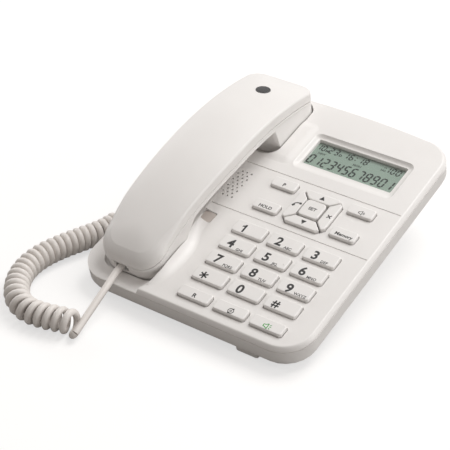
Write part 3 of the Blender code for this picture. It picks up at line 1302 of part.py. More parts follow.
def cord():
    """Two plugs, the plain lead at each end and the coil between them."""
    plug_shape = rounded_rect(PLUG_LENGTH, PLUG_WIDTH, PLUG_CORNER, 1)
    half = 0.5 * PLUG_HEIGHT
    block("base_plug", plug_shape, CORD_JACK_Z - half, CORD_JACK_Z + half, CLEAR,
          centre=(LEFT - PLUG_PROUD + 0.5 * PLUG_LENGTH, CORD_JACK_POSITION))
    plug_front = HANDSET_FRONT + MOUTHPIECE_INSET - PLUG_PROUD
    plug_shape = rounded_rect(PLUG_WIDTH, PLUG_LENGTH, PLUG_CORNER, 1)
    z = HANDSET_SOCKET_HEIGHT
    block("handset_plug", plug_shape, z - half, z + half, CLEAR,
          centre=(SOCKET_X, plug_front + 0.5 * PLUG_LENGTH))

    exit_point = deck_to_world((SOCKET_X, plug_front - FIT_GAP, z))
    outward = (deck_to_world((SOCKET_X, -1.0, z)) - deck_to_world((SOCKET_X, 0.0, z))).normalized()
    top = exit_point + outward * 0.0055
    points, turns = coil_points()
    foot = points[-1]
    points += [foot + Vector(step) for step in FOOT_BEND]
    rise = (top - points[-1]).normalized()
    points += [points[-1] + rise * 0.0032, points[-1] + rise * (0.0032 + 1.2 * CORD_DIAMETER)]
    tube("handset_coil", points, CORD_WHITE)
    gap = least_gap(points, 1.1 * math.pi * (COIL_DIAMETER - CORD_DIAMETER) * 0.5)
    print(f"curly cord: {turns:.1f} curls, least gap to itself {1000 * gap:.2f} mm")

    start = points[-1] + rise * FIT_GAP
    reach = (top - start).length
    route = [start, start + rise * 0.006, start + rise * 0.5 * reach, top - rise * 0.006, top, exit_point]
    tube("handset_lead", catmull(route, 4), CORD_WHITE)

    start = deck_to_world((LEFT - PLUG_PROUD - FIT_GAP, CORD_JACK_POSITION, CORD_JACK_Z))
    heading = (points[1] - points[0]).normalized()
    meet = points[0] - heading * FIT_GAP
    route = [start, start - Vector((0.0052, 0.0, 0.0))]
    route += [Vector(p) for p in BASE_LEAD_ROUTE]
    route += [meet - heading * 0.0045, meet]
    tube("base_lead", catmull(route, 4), CORD_WHITE)


# ---------------------------------------------------------------- build
upper_shell()
lower_shell()
feet()
base_screws()
keys()
boards()
display()
lamp()
loudspeaker()
hook()
jacks()
microphone()
handset()
cord()

for item in PARTS.objects:
    if item.type == "MESH":
        item.data.shade_smooth()
        item.data.set_sharp_from_angle(angle=math.radians(30.0))
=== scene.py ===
from math import atan2, cos, pi, radians, sin, sqrt

import bmesh
import bpy
from mathutils import Matrix, Vector


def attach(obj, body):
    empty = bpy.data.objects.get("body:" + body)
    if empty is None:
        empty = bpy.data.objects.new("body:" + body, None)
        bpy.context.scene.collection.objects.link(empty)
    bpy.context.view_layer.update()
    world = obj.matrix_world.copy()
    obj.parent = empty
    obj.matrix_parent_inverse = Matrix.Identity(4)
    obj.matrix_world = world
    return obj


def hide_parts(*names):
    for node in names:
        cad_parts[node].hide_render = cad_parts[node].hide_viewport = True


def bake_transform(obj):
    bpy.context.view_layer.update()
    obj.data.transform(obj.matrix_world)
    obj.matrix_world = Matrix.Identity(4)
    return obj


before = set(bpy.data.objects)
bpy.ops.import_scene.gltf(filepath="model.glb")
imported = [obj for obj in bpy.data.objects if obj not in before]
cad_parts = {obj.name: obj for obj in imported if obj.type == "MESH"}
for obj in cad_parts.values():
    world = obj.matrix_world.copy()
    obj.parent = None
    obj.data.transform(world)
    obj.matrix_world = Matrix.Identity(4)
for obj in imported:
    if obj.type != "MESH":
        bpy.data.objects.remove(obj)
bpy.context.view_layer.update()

MM = 0.001

# ---------------------------------------------------------------- sizes, as in the model (mm)
DECK_TILT = 0.2124
BASE_WIDTH = 158.0
BASE_LENGTH = 194.8
BACK_BULGE = 3.0
CORNER_RADIUS = 20.0
FRONT_HEIGHT = 17.0
SKIRT = 12.0
WALL = 2.2
GAP = 0.3
LEFT, RIGHT = -0.5 * BASE_WIDTH, 0.5 * BASE_WIDTH
FRONT, BACK = -0.5 * BASE_LENGTH, 0.5 * BASE_LENGTH

LANE_X = -34.8
LANE_DROP = 3.0
LANE_BACK = 88.0
EAR_FLOOR = -7.5
MOUTH_FLOOR = -6.0

HANDSET_X = -45.0
HANDSET_FRONT = -87.0
HANDSET_BACK = 92.4
EAR_FRONT = 38.9
MOUTHPIECE_INSET = 3.0
TAPER_START, TAPER_RUN = 10.0, 80.0
SWING = 2.6
SOCKET_X = -50.5
SOCKET_Z = 1.2
PLUG_PROUD = 1.2

COLUMN_X = [2.15, 27.15, 52.15]
ROW_Y = [-26.12, -40.38, -54.64, -68.9]
SPECIAL_ROW_Y = -85.0
LOWER_FUNCTION_Y = -4.02
UPPER_FUNCTION_Y = 17.38
FUNCTION_X = [0.0, 54.3]
DPAD_Y = 4.98
KEY_TOP = 2.2
SET_TOP = 3.0
DISPLAY = (27.7, 54.6)
DISPLAY_SIZE = (63.4, 23.4)
LCD_TOP = -4.5
UPPER_SEAM_Y = 26.18
LOWER_SEAM_Y = -14.92
CORD_EXIT = (-80.5, -10.0, -8.8)

MIDDLE = Vector((0.0, -0.5 * SKIRT * sin(DECK_TILT), FRONT_HEIGHT + 0.5 * BASE_LENGTH * sin(DECK_TILT)))
DECK = Matrix.Translation(MIDDLE * MM) @ Matrix.Rotation(DECK_TILT, 4, "X")
DECK_MM = DECK @ Matrix.Scale(MM, 4)

# ---------------------------------------------------------------- camera
LENS = 112.0
SENSOR_WIDTH = 36.0
NEAREST = 0.01
CAMERA_PLACE = (0.3786, -0.6078, 0.5118)
LOOKS_DOWN, LOOKS_LEFT = 34.45, 34.2


def linked(name, data):
    """A new object in the scene."""
    item = bpy.data.objects.new(name, data)
    bpy.context.scene.collection.objects.link(item)
    return item


def camera():
    """A camera at the photograph's viewing angle."""
    data = bpy.data.cameras.new("photo_camera")
    data.lens = LENS
    data.sensor_width = SENSOR_WIDTH
    data.clip_start = NEAREST
    item = linked("photo_camera", data)
    item.location = CAMERA_PLACE
    item.rotation_euler = (radians(90.0 - LOOKS_DOWN), 0.0, radians(LOOKS_LEFT))
    bpy.context.scene.camera = item


camera()

# ---------------------------------------------------------------- materials
NOISE_LOW, NOISE_HIGH = 0.3, 0.7
GRAIN_DEPTH = 0.00005
DISPLAY_GRAIN_DEPTH = 0.00002


def feed(tree, item, sockets):
    """Give a node's sockets their values, or link them to the outputs that they follow."""
    for socket, value in sockets.items():
        if isinstance(value, bpy.types.NodeSocket):
            tree.links.new(value, item.inputs[socket])
        else:
            item.inputs[socket].default_value = value
    return item


def node(tree, kind, sockets):
    """A new shader node, with its sockets fed."""
    return feed(tree, tree.nodes.new("ShaderNode" + kind), sockets)


def shader_of(name, roughness, metallic=0.0):
    """A new material, its node tree and its Principled shader."""
    made = bpy.data.materials.new(name)
    made.use_nodes = True
    tree = made.node_tree
    shader = feed(tree, tree.nodes["Principled BSDF"], {"Roughness": roughness, "Metallic": metallic})
    return made, tree, shader


def noise(tree, scale, detail=3.0, stretch=(1.0, 1.0, 1.0)):
    """Noise in object space; the scale is in cells per metre."""
    place = node(tree, "TexCoord", {})
    size = node(tree, "Mapping", {"Vector": place.outputs["Object"], "Scale": stretch})
    return node(tree, "TexNoise", {"Vector": size.outputs["Vector"], "Scale": scale,
                                   "Detail": detail}).outputs["Fac"]


def spread(tree, factor, low, high):
    """A number that follows the noise between two values."""
    return node(tree, "MapRange", {"Value": factor, "From Min": NOISE_LOW, "From Max": NOISE_HIGH,
                                   "To Min": low, "To Max": high}).outputs["Result"]


def ramp(tree, factor, stops):
    """A colour that follows a number over two or more stops."""
    made = node(tree, "ValToRGB", {"Fac": factor})
    elements = made.color_ramp.elements
    for position, _ in stops[1:-1]:
        elements.new(position)
    for element, (position, colour) in zip(elements, stops):
        element.position = position
        element.color = (*colour, 1.0)
    return made.outputs["Color"]


def tinted(tree, factor, first, second):
    """A colour that follows the noise between two colours."""
    return ramp(tree, factor, [(NOISE_LOW, first), (NOISE_HIGH, second)])


def bump(tree, shader, factor, strength, depth=GRAIN_DEPTH):
    """Fine relief; the depth is in metres."""
    relief = node(tree, "Bump", {"Height": factor, "Strength": strength, "Distance": depth})
    feed(tree, shader, {"Normal": relief.outputs["Normal"]})


def moulded(name, first, second, rough, grain=2600.0, relief=0.12, blotch=45.0, metallic=0.0):
    """Moulded plastic or metal: a faint colour drift, uneven gloss and a fine surface grain."""
    made, tree, shader = shader_of(name, rough[0], metallic)
    gloss = noise(tree, 8.0 * blotch)
    feed(tree, shader, {"Base Color": tinted(tree, noise(tree, blotch, 4.0), first, second),
                        "Roughness": spread(tree, gloss, *rough)})
    bump(tree, shader, noise(tree, grain, 2.0), relief)
    return made


SHELL_WHITE = moulded("shell_white_plastic", (0.790, 0.770, 0.752), (0.808, 0.788, 0.770), (0.34, 0.42))
KEY_WHITE = moulded("key_white_plastic", (0.795, 0.776, 0.758), (0.812, 0.793, 0.775), (0.36, 0.44))
CORD_WHITE = moulded("cord_white_vinyl", (0.735, 0.695, 0.660), (0.765, 0.727, 0.695), (0.40, 0.50), 1500.0)
PRINT = moulded("printed_ink", (0.020, 0.019, 0.019), (0.028, 0.026, 0.026), (0.50, 0.62))
PRINT_GREY = moulded("printed_ink_grey", (0.045, 0.043, 0.042), (0.060, 0.057, 0.055), (0.50, 0.62))
PRINT_GREEN = moulded("printed_ink_green", (0.035, 0.30, 0.045), (0.045, 0.36, 0.055), (0.50, 0.62))
LCD_INK = moulded("display_segments", (0.008, 0.014, 0.011), (0.012, 0.020, 0.016), (0.30, 0.40))
LCD_DIM = moulded("display_small_segments", (0.060, 0.085, 0.070), (0.075, 0.105, 0.088), (0.30, 0.40))
LAMP = moulded("lamp_diffuser", (0.555, 0.500, 0.462), (0.600, 0.540, 0.500), (0.30, 0.38), 1100.0, 0.3)
BADGE_BLACK = moulded("badge_black", (0.022, 0.021, 0.022), (0.034, 0.032, 0.033), (0.22, 0.30), 3000.0)
BADGE_RING = moulded("badge_ring", (0.060, 0.058, 0.057), (0.080, 0.078, 0.076), (0.28, 0.36), 3000.0, 0.1)
RUBBER = moulded("foot_rubber_matt", (0.045, 0.043, 0.042), (0.065, 0.062, 0.060), (0.75, 0.88), 900.0, 0.5)
MEMBRANE = moulded("membrane_rubber", (0.30, 0.30, 0.31), (0.35, 0.35, 0.36), (0.70, 0.80), 1200.0, 0.3)
BOARD = moulded("board_laminate", (0.022, 0.105, 0.045), (0.030, 0.130, 0.058), (0.40, 0.50), 1800.0, 0.3)
DARK = moulded("dark_moulded_plastic", (0.024, 0.023, 0.023), (0.034, 0.033, 0.033), (0.42, 0.52), 1400.0)
STEEL = moulded("zinc_plated_steel", (0.52, 0.53, 0.54), (0.60, 0.61, 0.62), (0.26, 0.40), 1600.0, 0.2,
                300.0, 1.0)


def clear_plastic():
    """Clear plastic of the plugs."""
    made, tree, shader = shader_of("clear_moulded_plastic", 0.10)
    tint = tinted(tree, noise(tree, 60.0), (0.82, 0.84, 0.82), (0.86, 0.88, 0.86))
    feed(tree, shader, {"Base Color": tint, "Alpha": 0.30})
    bump(tree, shader, noise(tree, 500.0), 0.05)
    return made


def window_plastic():
    """The display's clear window, with faint hairline scratches in its gloss."""
    made, tree, shader = shader_of("clear_window", 0.12)
    tint = tinted(tree, noise(tree, 60.0), (0.60, 0.64, 0.61), (0.62, 0.66, 0.63))
    hairlines = noise(tree, 900.0, 2.0, (1.0, 0.05, 1.0))
    feed(tree, shader, {"Base Color": tint, "Alpha": 0.035, "Specular IOR Level": 0.2,
                        "Roughness": spread(tree, hairlines, 0.10, 0.18)})
    return made


def display_material():
    """The grey-green reflector of the display, with a painted shadow of the frame's back wall that darkens it
    towards its back edge.
    """
    made, tree, shader = shader_of("display_reflector", 0.35)
    middle = DECK @ Vector((DISPLAY[0] * MM, DISPLAY[1] * MM, LCD_TOP * MM))
    half = (0.5 * DISPLAY_SIZE[0] * MM, 0.5 * DISPLAY_SIZE[1] * MM, 1.0)
    place = node(tree, "TexCoord", {})
    turn = tree.nodes.new("ShaderNodeMapping")
    turn.vector_type = "TEXTURE"
    feed(tree, turn, {"Vector": place.outputs["Object"], "Location": middle,
                      "Rotation": (DECK_TILT, 0.0, 0.0), "Scale": half})
    split = node(tree, "SeparateXYZ", {"Vector": turn.outputs["Vector"]})
    rise = node(tree, "MapRange", {"Value": split.outputs["Y"], "From Min": -1.0, "From Max": 1.05})
    # the last, dark stop is a painted shadow of the frame's back wall along the display's back edge
    tint = ramp(tree, rise.outputs["Result"],
                [(0.0, (0.262, 0.345, 0.285)), (0.80, (0.255, 0.335, 0.280)), (1.0, (0.130, 0.160, 0.135))])
    feed(tree, shader, {"Base Color": tint})
    bump(tree, shader, noise(tree, 4000.0, 1.0), 0.15, DISPLAY_GRAIN_DEPTH)
    return made


CLEAR = clear_plastic()
WINDOW = window_plastic()
DISPLAY_GREEN = display_material()

# ---------------------------------------------------------------- mesh helpers
LEAST_RADIUS = 0.12


def to_object(bm, name, look, body=None, deck=True, sharp=32.0):
    """An object from deck-frame millimetres, with its faces turned outwards."""
    bmesh.ops.recalc_face_normals(bm, faces=bm.faces)
    mesh = bpy.data.meshes.new(name)
    if deck:
        bm.transform(DECK_MM)
    bm.to_mesh(mesh)
    bm.free()
    item = linked(name, mesh)
    if look is not None:
        mesh.materials.append(look)
    mesh.shade_smooth()
    mesh.set_sharp_from_angle(angle=radians(sharp))
    if body:
        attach(item, body)
    return item


def walls(bm, rings):
    """The sides between rings that all have the same number of points; gives the rings' vertices."""
    lines = [[bm.verts.new(point) for point in ring] for ring in rings]
    for low, high in zip(lines, lines[1:]):
        for index in range(len(low)):
            after = (index + 1) % len(low)
            bm.faces.new((low[index], low[after], high[after], high[index]))
    return lines


def solid(name, stacks, look=None, body=None, deck=True, sharp=32.0):
    """An object made of closed solids, each given as its rings of points, from below."""
    bm = bmesh.new()
    for rings in stacks:
        lines = walls(bm, rings)
        bm.faces.new(lines[0][::-1])
        bm.faces.new(lines[-1])
    return to_object(bm, name, look, body, deck, sharp)


def corner_ring(corners, inset, radius, segments, centre=(0.0, 0.0)):
    """A convex polygon drawn in by an inset, with its corners rounded."""
    points = []
    radius = max(radius - inset, LEAST_RADIUS)
    reach = inset + radius
    for index in range(len(corners)):
        before = Vector(corners[index - 1])
        here = Vector(corners[index])
        after = Vector(corners[(index + 1) % len(corners)])
        into = (here - before).normalized()
        out = (after - here).normalized()
        normal_in = Vector((-into.y, into.x))
        normal_out = Vector((-out.y, out.x))
        middle = here + (normal_in + normal_out) * (reach / (1.0 + normal_in.dot(normal_out)))
        start = atan2(-normal_in.y, -normal_in.x)
        turn = abs(normal_in.angle_signed(normal_out))
        for step in range(segments + 1):
            angle = start + turn * step / segments
            points.append((middle.x + radius * cos(angle) + centre[0],
                           middle.y + radius * sin(angle) + centre[1]))
    return points


def frame_corners(x0, x1, y0, y1):
    """Corners of a rectangle, anticlockwise."""
    return [(x1, y0), (x1, y1), (x0, y1), (x0, y0)]


def box_corners(width, depth):
    """Corners of a rectangle about the origin."""
    return frame_corners(-0.5 * width, 0.5 * width, -0.5 * depth, 0.5 * depth)


def lift(points, z):
    """Points of an outline at one height."""
    return [(x, y, z) for x, y in points]


def prism(points, low, high):
    """The two rings of an upright prism."""
    return [lift(points, low), lift(points, high)]


def smooth(value):
    """Smooth step from 0 to 1."""
    value = min(max(value, 0.0), 1.0)
    return value * value * (3.0 - 2.0 * value)


def rounded(corners, radius, profile, segments, centre=(0.0, 0.0)):
    """Rings over a rounded polygon; its profile is a list of insets and heights."""
    return [lift(corner_ring(corners, inset, radius, segments, centre), z) for inset, z in profile]


def circle(radius, sides, centre=(0.0, 0.0)):
    """Points of a circle, anticlockwise."""
    return [(centre[0] + radius * cos(2.0 * pi * i / sides),
             centre[1] + radius * sin(2.0 * pi * i / sides)) for i in range(sides)]


def arc(radius, start, end, centre=(0.0, 0.0), steps=10):
    """Points of an arc; angles in degrees."""
    return [(centre[0] + radius * cos(radians(start + (end - start) * k / steps)),
             centre[1] + radius * sin(radians(start + (end - start) * k / steps)))
            for k in range(steps + 1)]


def turned(profile, sides, centre=(0.0, 0.0)):
    """Rings over a circle; its profile is a list of radii and heights."""
    return [lift(circle(radius, sides, centre), z) for radius, z in profile]


def carve(item, operation, *cutters):
    """Subtract or join the cutters, and keep only the result."""
    for cutter in cutters:
        step = item.modifiers.new(cutter.name, "BOOLEAN")
        step.operation = operation
        step.solver = "EXACT"
        step.object = cutter
    finish_modifiers(item)
    for cutter in cutters:
        bpy.data.objects.remove(cutter, do_unlink=True)


def finished(item):
    """A new mesh of what an object's letters or modifiers make."""
    graph = bpy.context.evaluated_depsgraph_get()
    return bpy.data.meshes.new_from_object(item.evaluated_get(graph))


def finish_modifiers(item):
    """Replace an object's mesh by what its modifiers make."""
    made = finished(item)
    item.modifiers.clear()
    item.data = made


def weighted(item, sharp=34.0):
    """Shading in which large flat faces stay flat and small fillets blend into them."""
    item.data.shade_smooth()
    item.data.set_sharp_from_angle(angle=radians(sharp))
    step = item.modifiers.new("weighted", "WEIGHTED_NORMAL")
    step.keep_sharp = True
    finish_modifiers(item)

# ---------------------------------------------------------------- curly cord
CORD_DIAMETER = 4.3
COIL_DIAMETER = 16.0
COIL_WIRE_GAP = 0.12
COIL_POINTS_PER_TURN = 16
COIL_OPEN_LENGTH = 22.0
COIL_OPEN_FACTOR = 1.45
COIL_HEIGHT = 8.2
COIL_SPREAD = 0.1
COIL_END_SINE = -0.999
HEADING_SPAN = 6.0
BEND_REACH = 8.0
COIL_ROUTE = [(-91.8, -36.0), (-94.0, -49.0), (-98.5, -61.0), (-103.8, -74.5), (-107.7, -88.0),
              (-108.6, -101.0), (-106.0, -113.5), (-100.0, -124.5), (-91.5, -133.2), (-81.0, -137.4),
              (-70.0, -136.9), (-60.0, -134.4), (-51.0, -132.2)]
BASE_LEAD_ROUTE = [(-88.5, -11.0, 26.2), (-89.3, -22.0, 23.2), (-87.2, -31.0, 18.2)]
FOOT_BEND = [(0.8, -3.3, 0.0), (2.4, -5.2, 1.2), (4.0, -4.8, 3.2)]
RISE_SHARES = (0.12, 0.3, 0.55, 0.8)
STRAIGHT_OUT, STRAIGHT_IN = 5.2, 5.5
BEND_STEPS = 5


def catmull(points, steps):
    """A smooth line through points, with this many steps between each pair."""
    line = []
    last = len(points) - 1
    for index in range(last):
        p0 = points[max(index - 1, 0)]
        p1 = points[index]
        p2 = points[index + 1]
        p3 = points[min(index + 2, last)]
        for step in range(steps):
            t = step / steps
            line.append(0.5 * ((2 * p1) + (p2 - p0) * t + (2 * p0 - 5 * p1 + 4 * p2 - p3) * t * t
                               + (3 * p1 - p0 - 3 * p2 + p3) * t ** 3))
    line.append(points[-1])
    return line


def distances(line):
    """Distance of each point along a line."""
    reached = [0.0]
    for a, b in zip(line, line[1:]):
        reached.append(reached[-1] + (b - a).length)
    return reached


def at(line, reached, s):
    """Point at this distance along a line, and straight on past its ends."""
    if s <= 0.0:
        return line[0] + (line[0] - line[1]).normalized() * -s
    if s >= reached[-1]:
        return line[-1] + (line[-1] - line[-2]).normalized() * (s - reached[-1])
    index = 0
    while reached[index + 1] < s:
        index += 1
    share = (s - reached[index]) / (reached[index + 1] - reached[index])
    return line[index].lerp(line[index + 1], share)


def coil():
    """The curls about their middle line, from beside the base to the lead of the handset."""
    line = catmull([Vector((x, y, COIL_HEIGHT)) for x, y in COIL_ROUTE], 16)
    reached = distances(line)
    total = reached[-1]
    radius = 0.5 * (COIL_DIAMETER - CORD_DIAMETER)

    def heading(s):
        return (at(line, reached, s + HEADING_SPAN) - at(line, reached, s - HEADING_SPAN)).normalized()

    angles = [pi]
    places = [0.0]
    while places[-1] < total or sin(angles[-1]) > COIL_END_SINE:
        s = places[-1]
        bend = heading(s - BEND_REACH).angle(heading(s + BEND_REACH)) / (2.0 * BEND_REACH)
        pitch = (CORD_DIAMETER + COIL_WIRE_GAP) / (1.0 - bend * (radius + COIL_SPREAD * CORD_DIAMETER))
        opening = min(max(0.0, 1.0 - (total - s) / COIL_OPEN_LENGTH), 1.0)
        pitch *= 1.0 + (COIL_OPEN_FACTOR - 1.0) * opening
        places.append(s + pitch / COIL_POINTS_PER_TURN)
        angles.append(angles[-1] + 2.0 * pi / COIL_POINTS_PER_TURN)
    up = Vector((0.0, 0.0, 1.0))
    points = []
    for angle, s in zip(angles, places):
        side = heading(s).cross(up).normalized()
        points.append(at(line, reached, s) + radius * (cos(angle) * side + sin(angle) * up))
    return points


def cord_path():
    """The cord in world millimetres: from the base's plug to the curls' end, and on to the handset."""
    to_world = Matrix.Scale(1.0 / MM, 4) @ DECK_MM
    curls = coil()
    tail = Vector((0.0, 0.15, 1.0)).normalized()
    meet = curls[0] + tail * 1.2 * CORD_DIAMETER
    start = to_world @ Vector(CORD_EXIT)
    lead = [start, start - Vector((STRAIGHT_OUT, 0.0, 0.0)), *(Vector(p) for p in BASE_LEAD_ROUTE),
            meet + tail * 4.5, meet]
    foot = curls[-1]
    end = to_world @ Vector((SOCKET_X, HANDSET_FRONT + MOUTHPIECE_INSET - PLUG_PROUD - GAP, SOCKET_Z))
    ahead = to_world @ Vector((SOCKET_X, -1000.0, SOCKET_Z)) - end
    top = end + ahead.normalized() * STRAIGHT_IN
    bend = [foot + Vector(step) for step in FOOT_BEND]
    rise = top - bend[-1]
    away = [bend[-1] + rise.normalized() * share * rise.length for share in RISE_SHARES]
    last = catmull([foot, *bend, *away, top, end], BEND_STEPS)
    parting = BEND_STEPS * len(bend)
    return catmull(lead, 6) + curls[1:] + last[1:parting + 1], last[parting:]


def tube(name, path, radius, sides, look):
    """A round mesh tube along a path of world points in metres, with closed ends."""
    rings = []
    heading = (path[1] - path[0]).normalized()
    side = heading.orthogonal().normalized()
    for index, point in enumerate(path):
        ahead = path[min(index + 1, len(path) - 1)] - path[max(index - 1, 0)]
        turn = heading.rotation_difference(ahead.normalized())
        heading = ahead.normalized()
        side = (turn @ side).normalized()
        other = heading.cross(side)
        rings.append([point + x * side + y * other for x, y in circle(radius, sides)])
    return solid(name, [rings], look, deck=False, sharp=60.0)


def cord():
    """The cord; its last stretch runs from the floor to the handset."""
    for name, line, nodes, plug in zip(("handset_cord_coil", "handset_cord_lead"), cord_path(),
                                       (("base_lead", "handset_coil"), ("handset_lead",)),
                                       ("base_plug", "handset_plug")):
        path = [p * MM for p in line]
        piece = tube(name, path, 0.5 * CORD_DIAMETER * MM, 14, CORD_WHITE)
        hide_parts(*nodes)
        if plug == "base_plug":
            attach(piece, "base")
        else:
            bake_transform(piece)


cord()

# ---------------------------------------------------------------- upper shell
LANE_EDGE = [(-35.5, -110.0), (-34.0, -101.0), (-32.3, -97.0), (-30.2, -91.5), (-28.2, -87.1),
             (-27.1, -82.0), (-26.7, -76.0), (-26.7, -58.0), (-27.9, -51.5), (-30.4, -45.0),
             (-32.0, -34.0), (-33.2, -22.0), (-34.8, -12.0), (-34.8, 30.0)]
LANE_CORNER = 6.0
# the crest of the lip beside the mouthpiece: x, y, height, width of its hollow slope
COLLAR = [(-28.4, -90.5, 0.2, 3.0), (-27.4, -87.0, 1.1, 4.8), (-26.4, -82.0, 2.3, 7.0),
          (-26.0, -76.0, 3.2, 8.5), (-26.0, -67.0, 3.8, 9.0), (-26.2, -58.0, 4.0, 9.0),
          (-27.2, -51.0, 4.1, 8.5), (-29.2, -44.0, 3.7, 8.0), (-31.0, -34.0, 2.8, 7.5),
          (-32.4, -23.0, 1.6, 6.0), (-34.3, -13.0, 0.5, 4.0), (-35.0, -7.0, 0.1, 2.5)]
COLLAR_HOLLOW = 2.3
RIM_HEIGHT = 0.95
RIM_RUN = 8.0
# width, depth and middle of the two wells under the handset
MOUTH_WELL = (41.8, 40.6, (HANDSET_X - SWING, -66.1))
EAR_WELL = (47.4, 55.2, (HANDSET_X, 65.0))
WELL_CORNER = 9.0
# insets and heights of the base's edge, from below
EDGE_PROFILE = [(0.5, -12.0), (0.15, -11.85), (0.0, -11.5), (0.0, -3.75), (0.4, -3.65), (0.4, -3.25),
                (0.1, -3.1), (0.0, -2.75), (0.35, -2.0), (0.85, -1.2), (1.35, -0.55), (1.75, -0.2),
                (2.2, -0.04), (2.6, 0.0)]
SCREW_X, SCREW_Y = 71.0, 83.4
BOSS_RADIUS = 3.4
# left, right, front and back of the frame round the display, at its top and at its foot
BEZEL_OUTER = (-7.8, 63.5, 34.5, 69.8)
BEZEL_INNER = (-4.5, 60.3, 42.0, 66.7)
BEZEL_STEEP = 4.0
BEZEL_DROP = 2.0
BEZEL_WALL, BEZEL_WALL_PLACE = (76.0, 40.0), (27.85, 52.1)
SEAM_WIDTH = 0.62
LAMP_SIZE = 8.6
LAMP_EDGE_GAP, LAMP_SEAM_GAP = 1.8, 7.2
GRILLE_PITCH_X, GRILLE_PITCH_Y = 3.4, 2.86
GRILLE_EDGE_GAP, GRILLE_SEAM_GAP = 1.55, 9.2
GRILLE_ROWS, GRILLE_COLUMNS = 9, 3
HOOK_OPENING = (5.6, 12.6)
HOOK_Y = EAR_FRONT + 17.5
CORD_OPENING = (7.7, 8.2)
LINE_OPENING = (10.0, 10.7)
LINE_X = 30.0


def base_ring(inset, segments=14):
    """The outline of the base: round corners, and a back edge that bulges."""
    half_y = 0.5 * (BASE_LENGTH - BACK_BULGE)
    corners = [(RIGHT, -half_y), (RIGHT, half_y), (LEFT, half_y), (LEFT, -half_y)]
    ring = corner_ring(corners, inset, CORNER_RADIUS, segments, (0.0, -0.5 * BACK_BULGE))
    reach = RIGHT - CORNER_RADIUS
    bulge = []
    for step in range(1, 16):
        x = reach * (1.0 - step / 8.0)
        bulge.append((x, BACK - inset - BACK_BULGE * (x / reach) ** 2))
    half = 2 * (segments + 1)
    return ring[:half] + bulge + ring[half:]


def lane_ring(grow, height):
    """The handset's lane, open to the left and to the front, at one height."""
    left, front = LEFT - 10.0, FRONT - 10.0
    right = [(p.x + grow, p.y) for p in catmull([Vector(p) for p in LANE_EDGE], 4)]
    back = LANE_BACK + grow
    bend = arc(LANE_CORNER, 0.0, 90.0, (LANE_X + grow - LANE_CORNER, back - LANE_CORNER), 6)
    return lift([(left, front), *right, *bend, (left, back)], height)


def well(name, width, depth, centre, floor, grow=0.0):
    """A tool for a well with rounded edges at its top and round its floor, or for the space it takes."""
    top = -LANE_DROP
    if grow:
        profile = [(0.0, floor - grow), (0.0, 1.0)]
    else:
        profile = [(1.6, floor), (0.7, floor + 0.2), (0.2, floor + 0.7), (0.0, floor + 1.6), (0.0, top - 0.6),
                   (-0.1, top - 0.3), (-0.25, top - 0.05), (-0.4, top + 0.12), (-0.4, 7.0)]
    corners = box_corners(width + 2.0 * grow, depth + 2.0 * grow)
    return solid(name, [rounded(corners, WELL_CORNER + grow, profile, 8, centre)])


def lane_tool(name, grow, low, high):
    """A tool for the lane."""
    return solid(name, [[lane_ring(grow, low), lane_ring(grow, high)]])


def bezel_tool():
    """The sloped frame round the display: steep at the back and right, long and soft elsewhere."""
    rings = []
    for step in range(-1, 11):
        t = max(step, 0) / 10.0
        x0, x1, y0, y1 = [a + (b - a) * t for a, b in zip(BEZEL_OUTER, BEZEL_INNER)]
        line = []
        for x, y in corner_ring(frame_corners(x0, x1, y0, y1), 0.0, 5.0 - 3.6 * t, 8):
            steep = max(smooth((x - x1 + BEZEL_STEEP) / BEZEL_STEEP),
                        smooth((y - y1 + BEZEL_STEEP) / BEZEL_STEEP))
            drop = steep * (1.0 - (1.0 - t) ** 2) + (1.0 - steep) * smooth(t)
            line.append((x, y, 0.04 - (BEZEL_DROP + 0.04) * drop if step >= 0 else 3.0))
        rings.append(line)
    return solid("bezel_tool", [rings[::-1]])


def window_tool():
    """The opening of the display, with a small edge radius."""
    profile = [(0.0, -6.4), (0.0, -2.5), (-0.12, -2.2), (-0.4, -1.95), (-0.4, -1.0)]
    return solid("window_tool", [rounded(box_corners(*DISPLAY_SIZE), 0.9, profile, 5, DISPLAY)])


KEY_SHAPES = {}
NUMBER_KEY = (21.3, 10.0)
SPECIAL_KEY = (21.3, 7.8)
FUNCTION_KEY = (17.0, 8.0)
SET_KEY = (13.6, 13.6)
KEY_CORNER, FUNCTION_CORNER, RING_CORNER, SET_CORNER = 1.5, 1.7, 0.9, 2.4
# the ring of four keys: half its size, half of each outer face, half its hole, and the split
RING, RING_FACE, RING_HOLE, RING_SPLIT = 14.8, 10.6, 7.8, 0.9
RING_PLACE = (COLUMN_X[1], DPAD_Y)


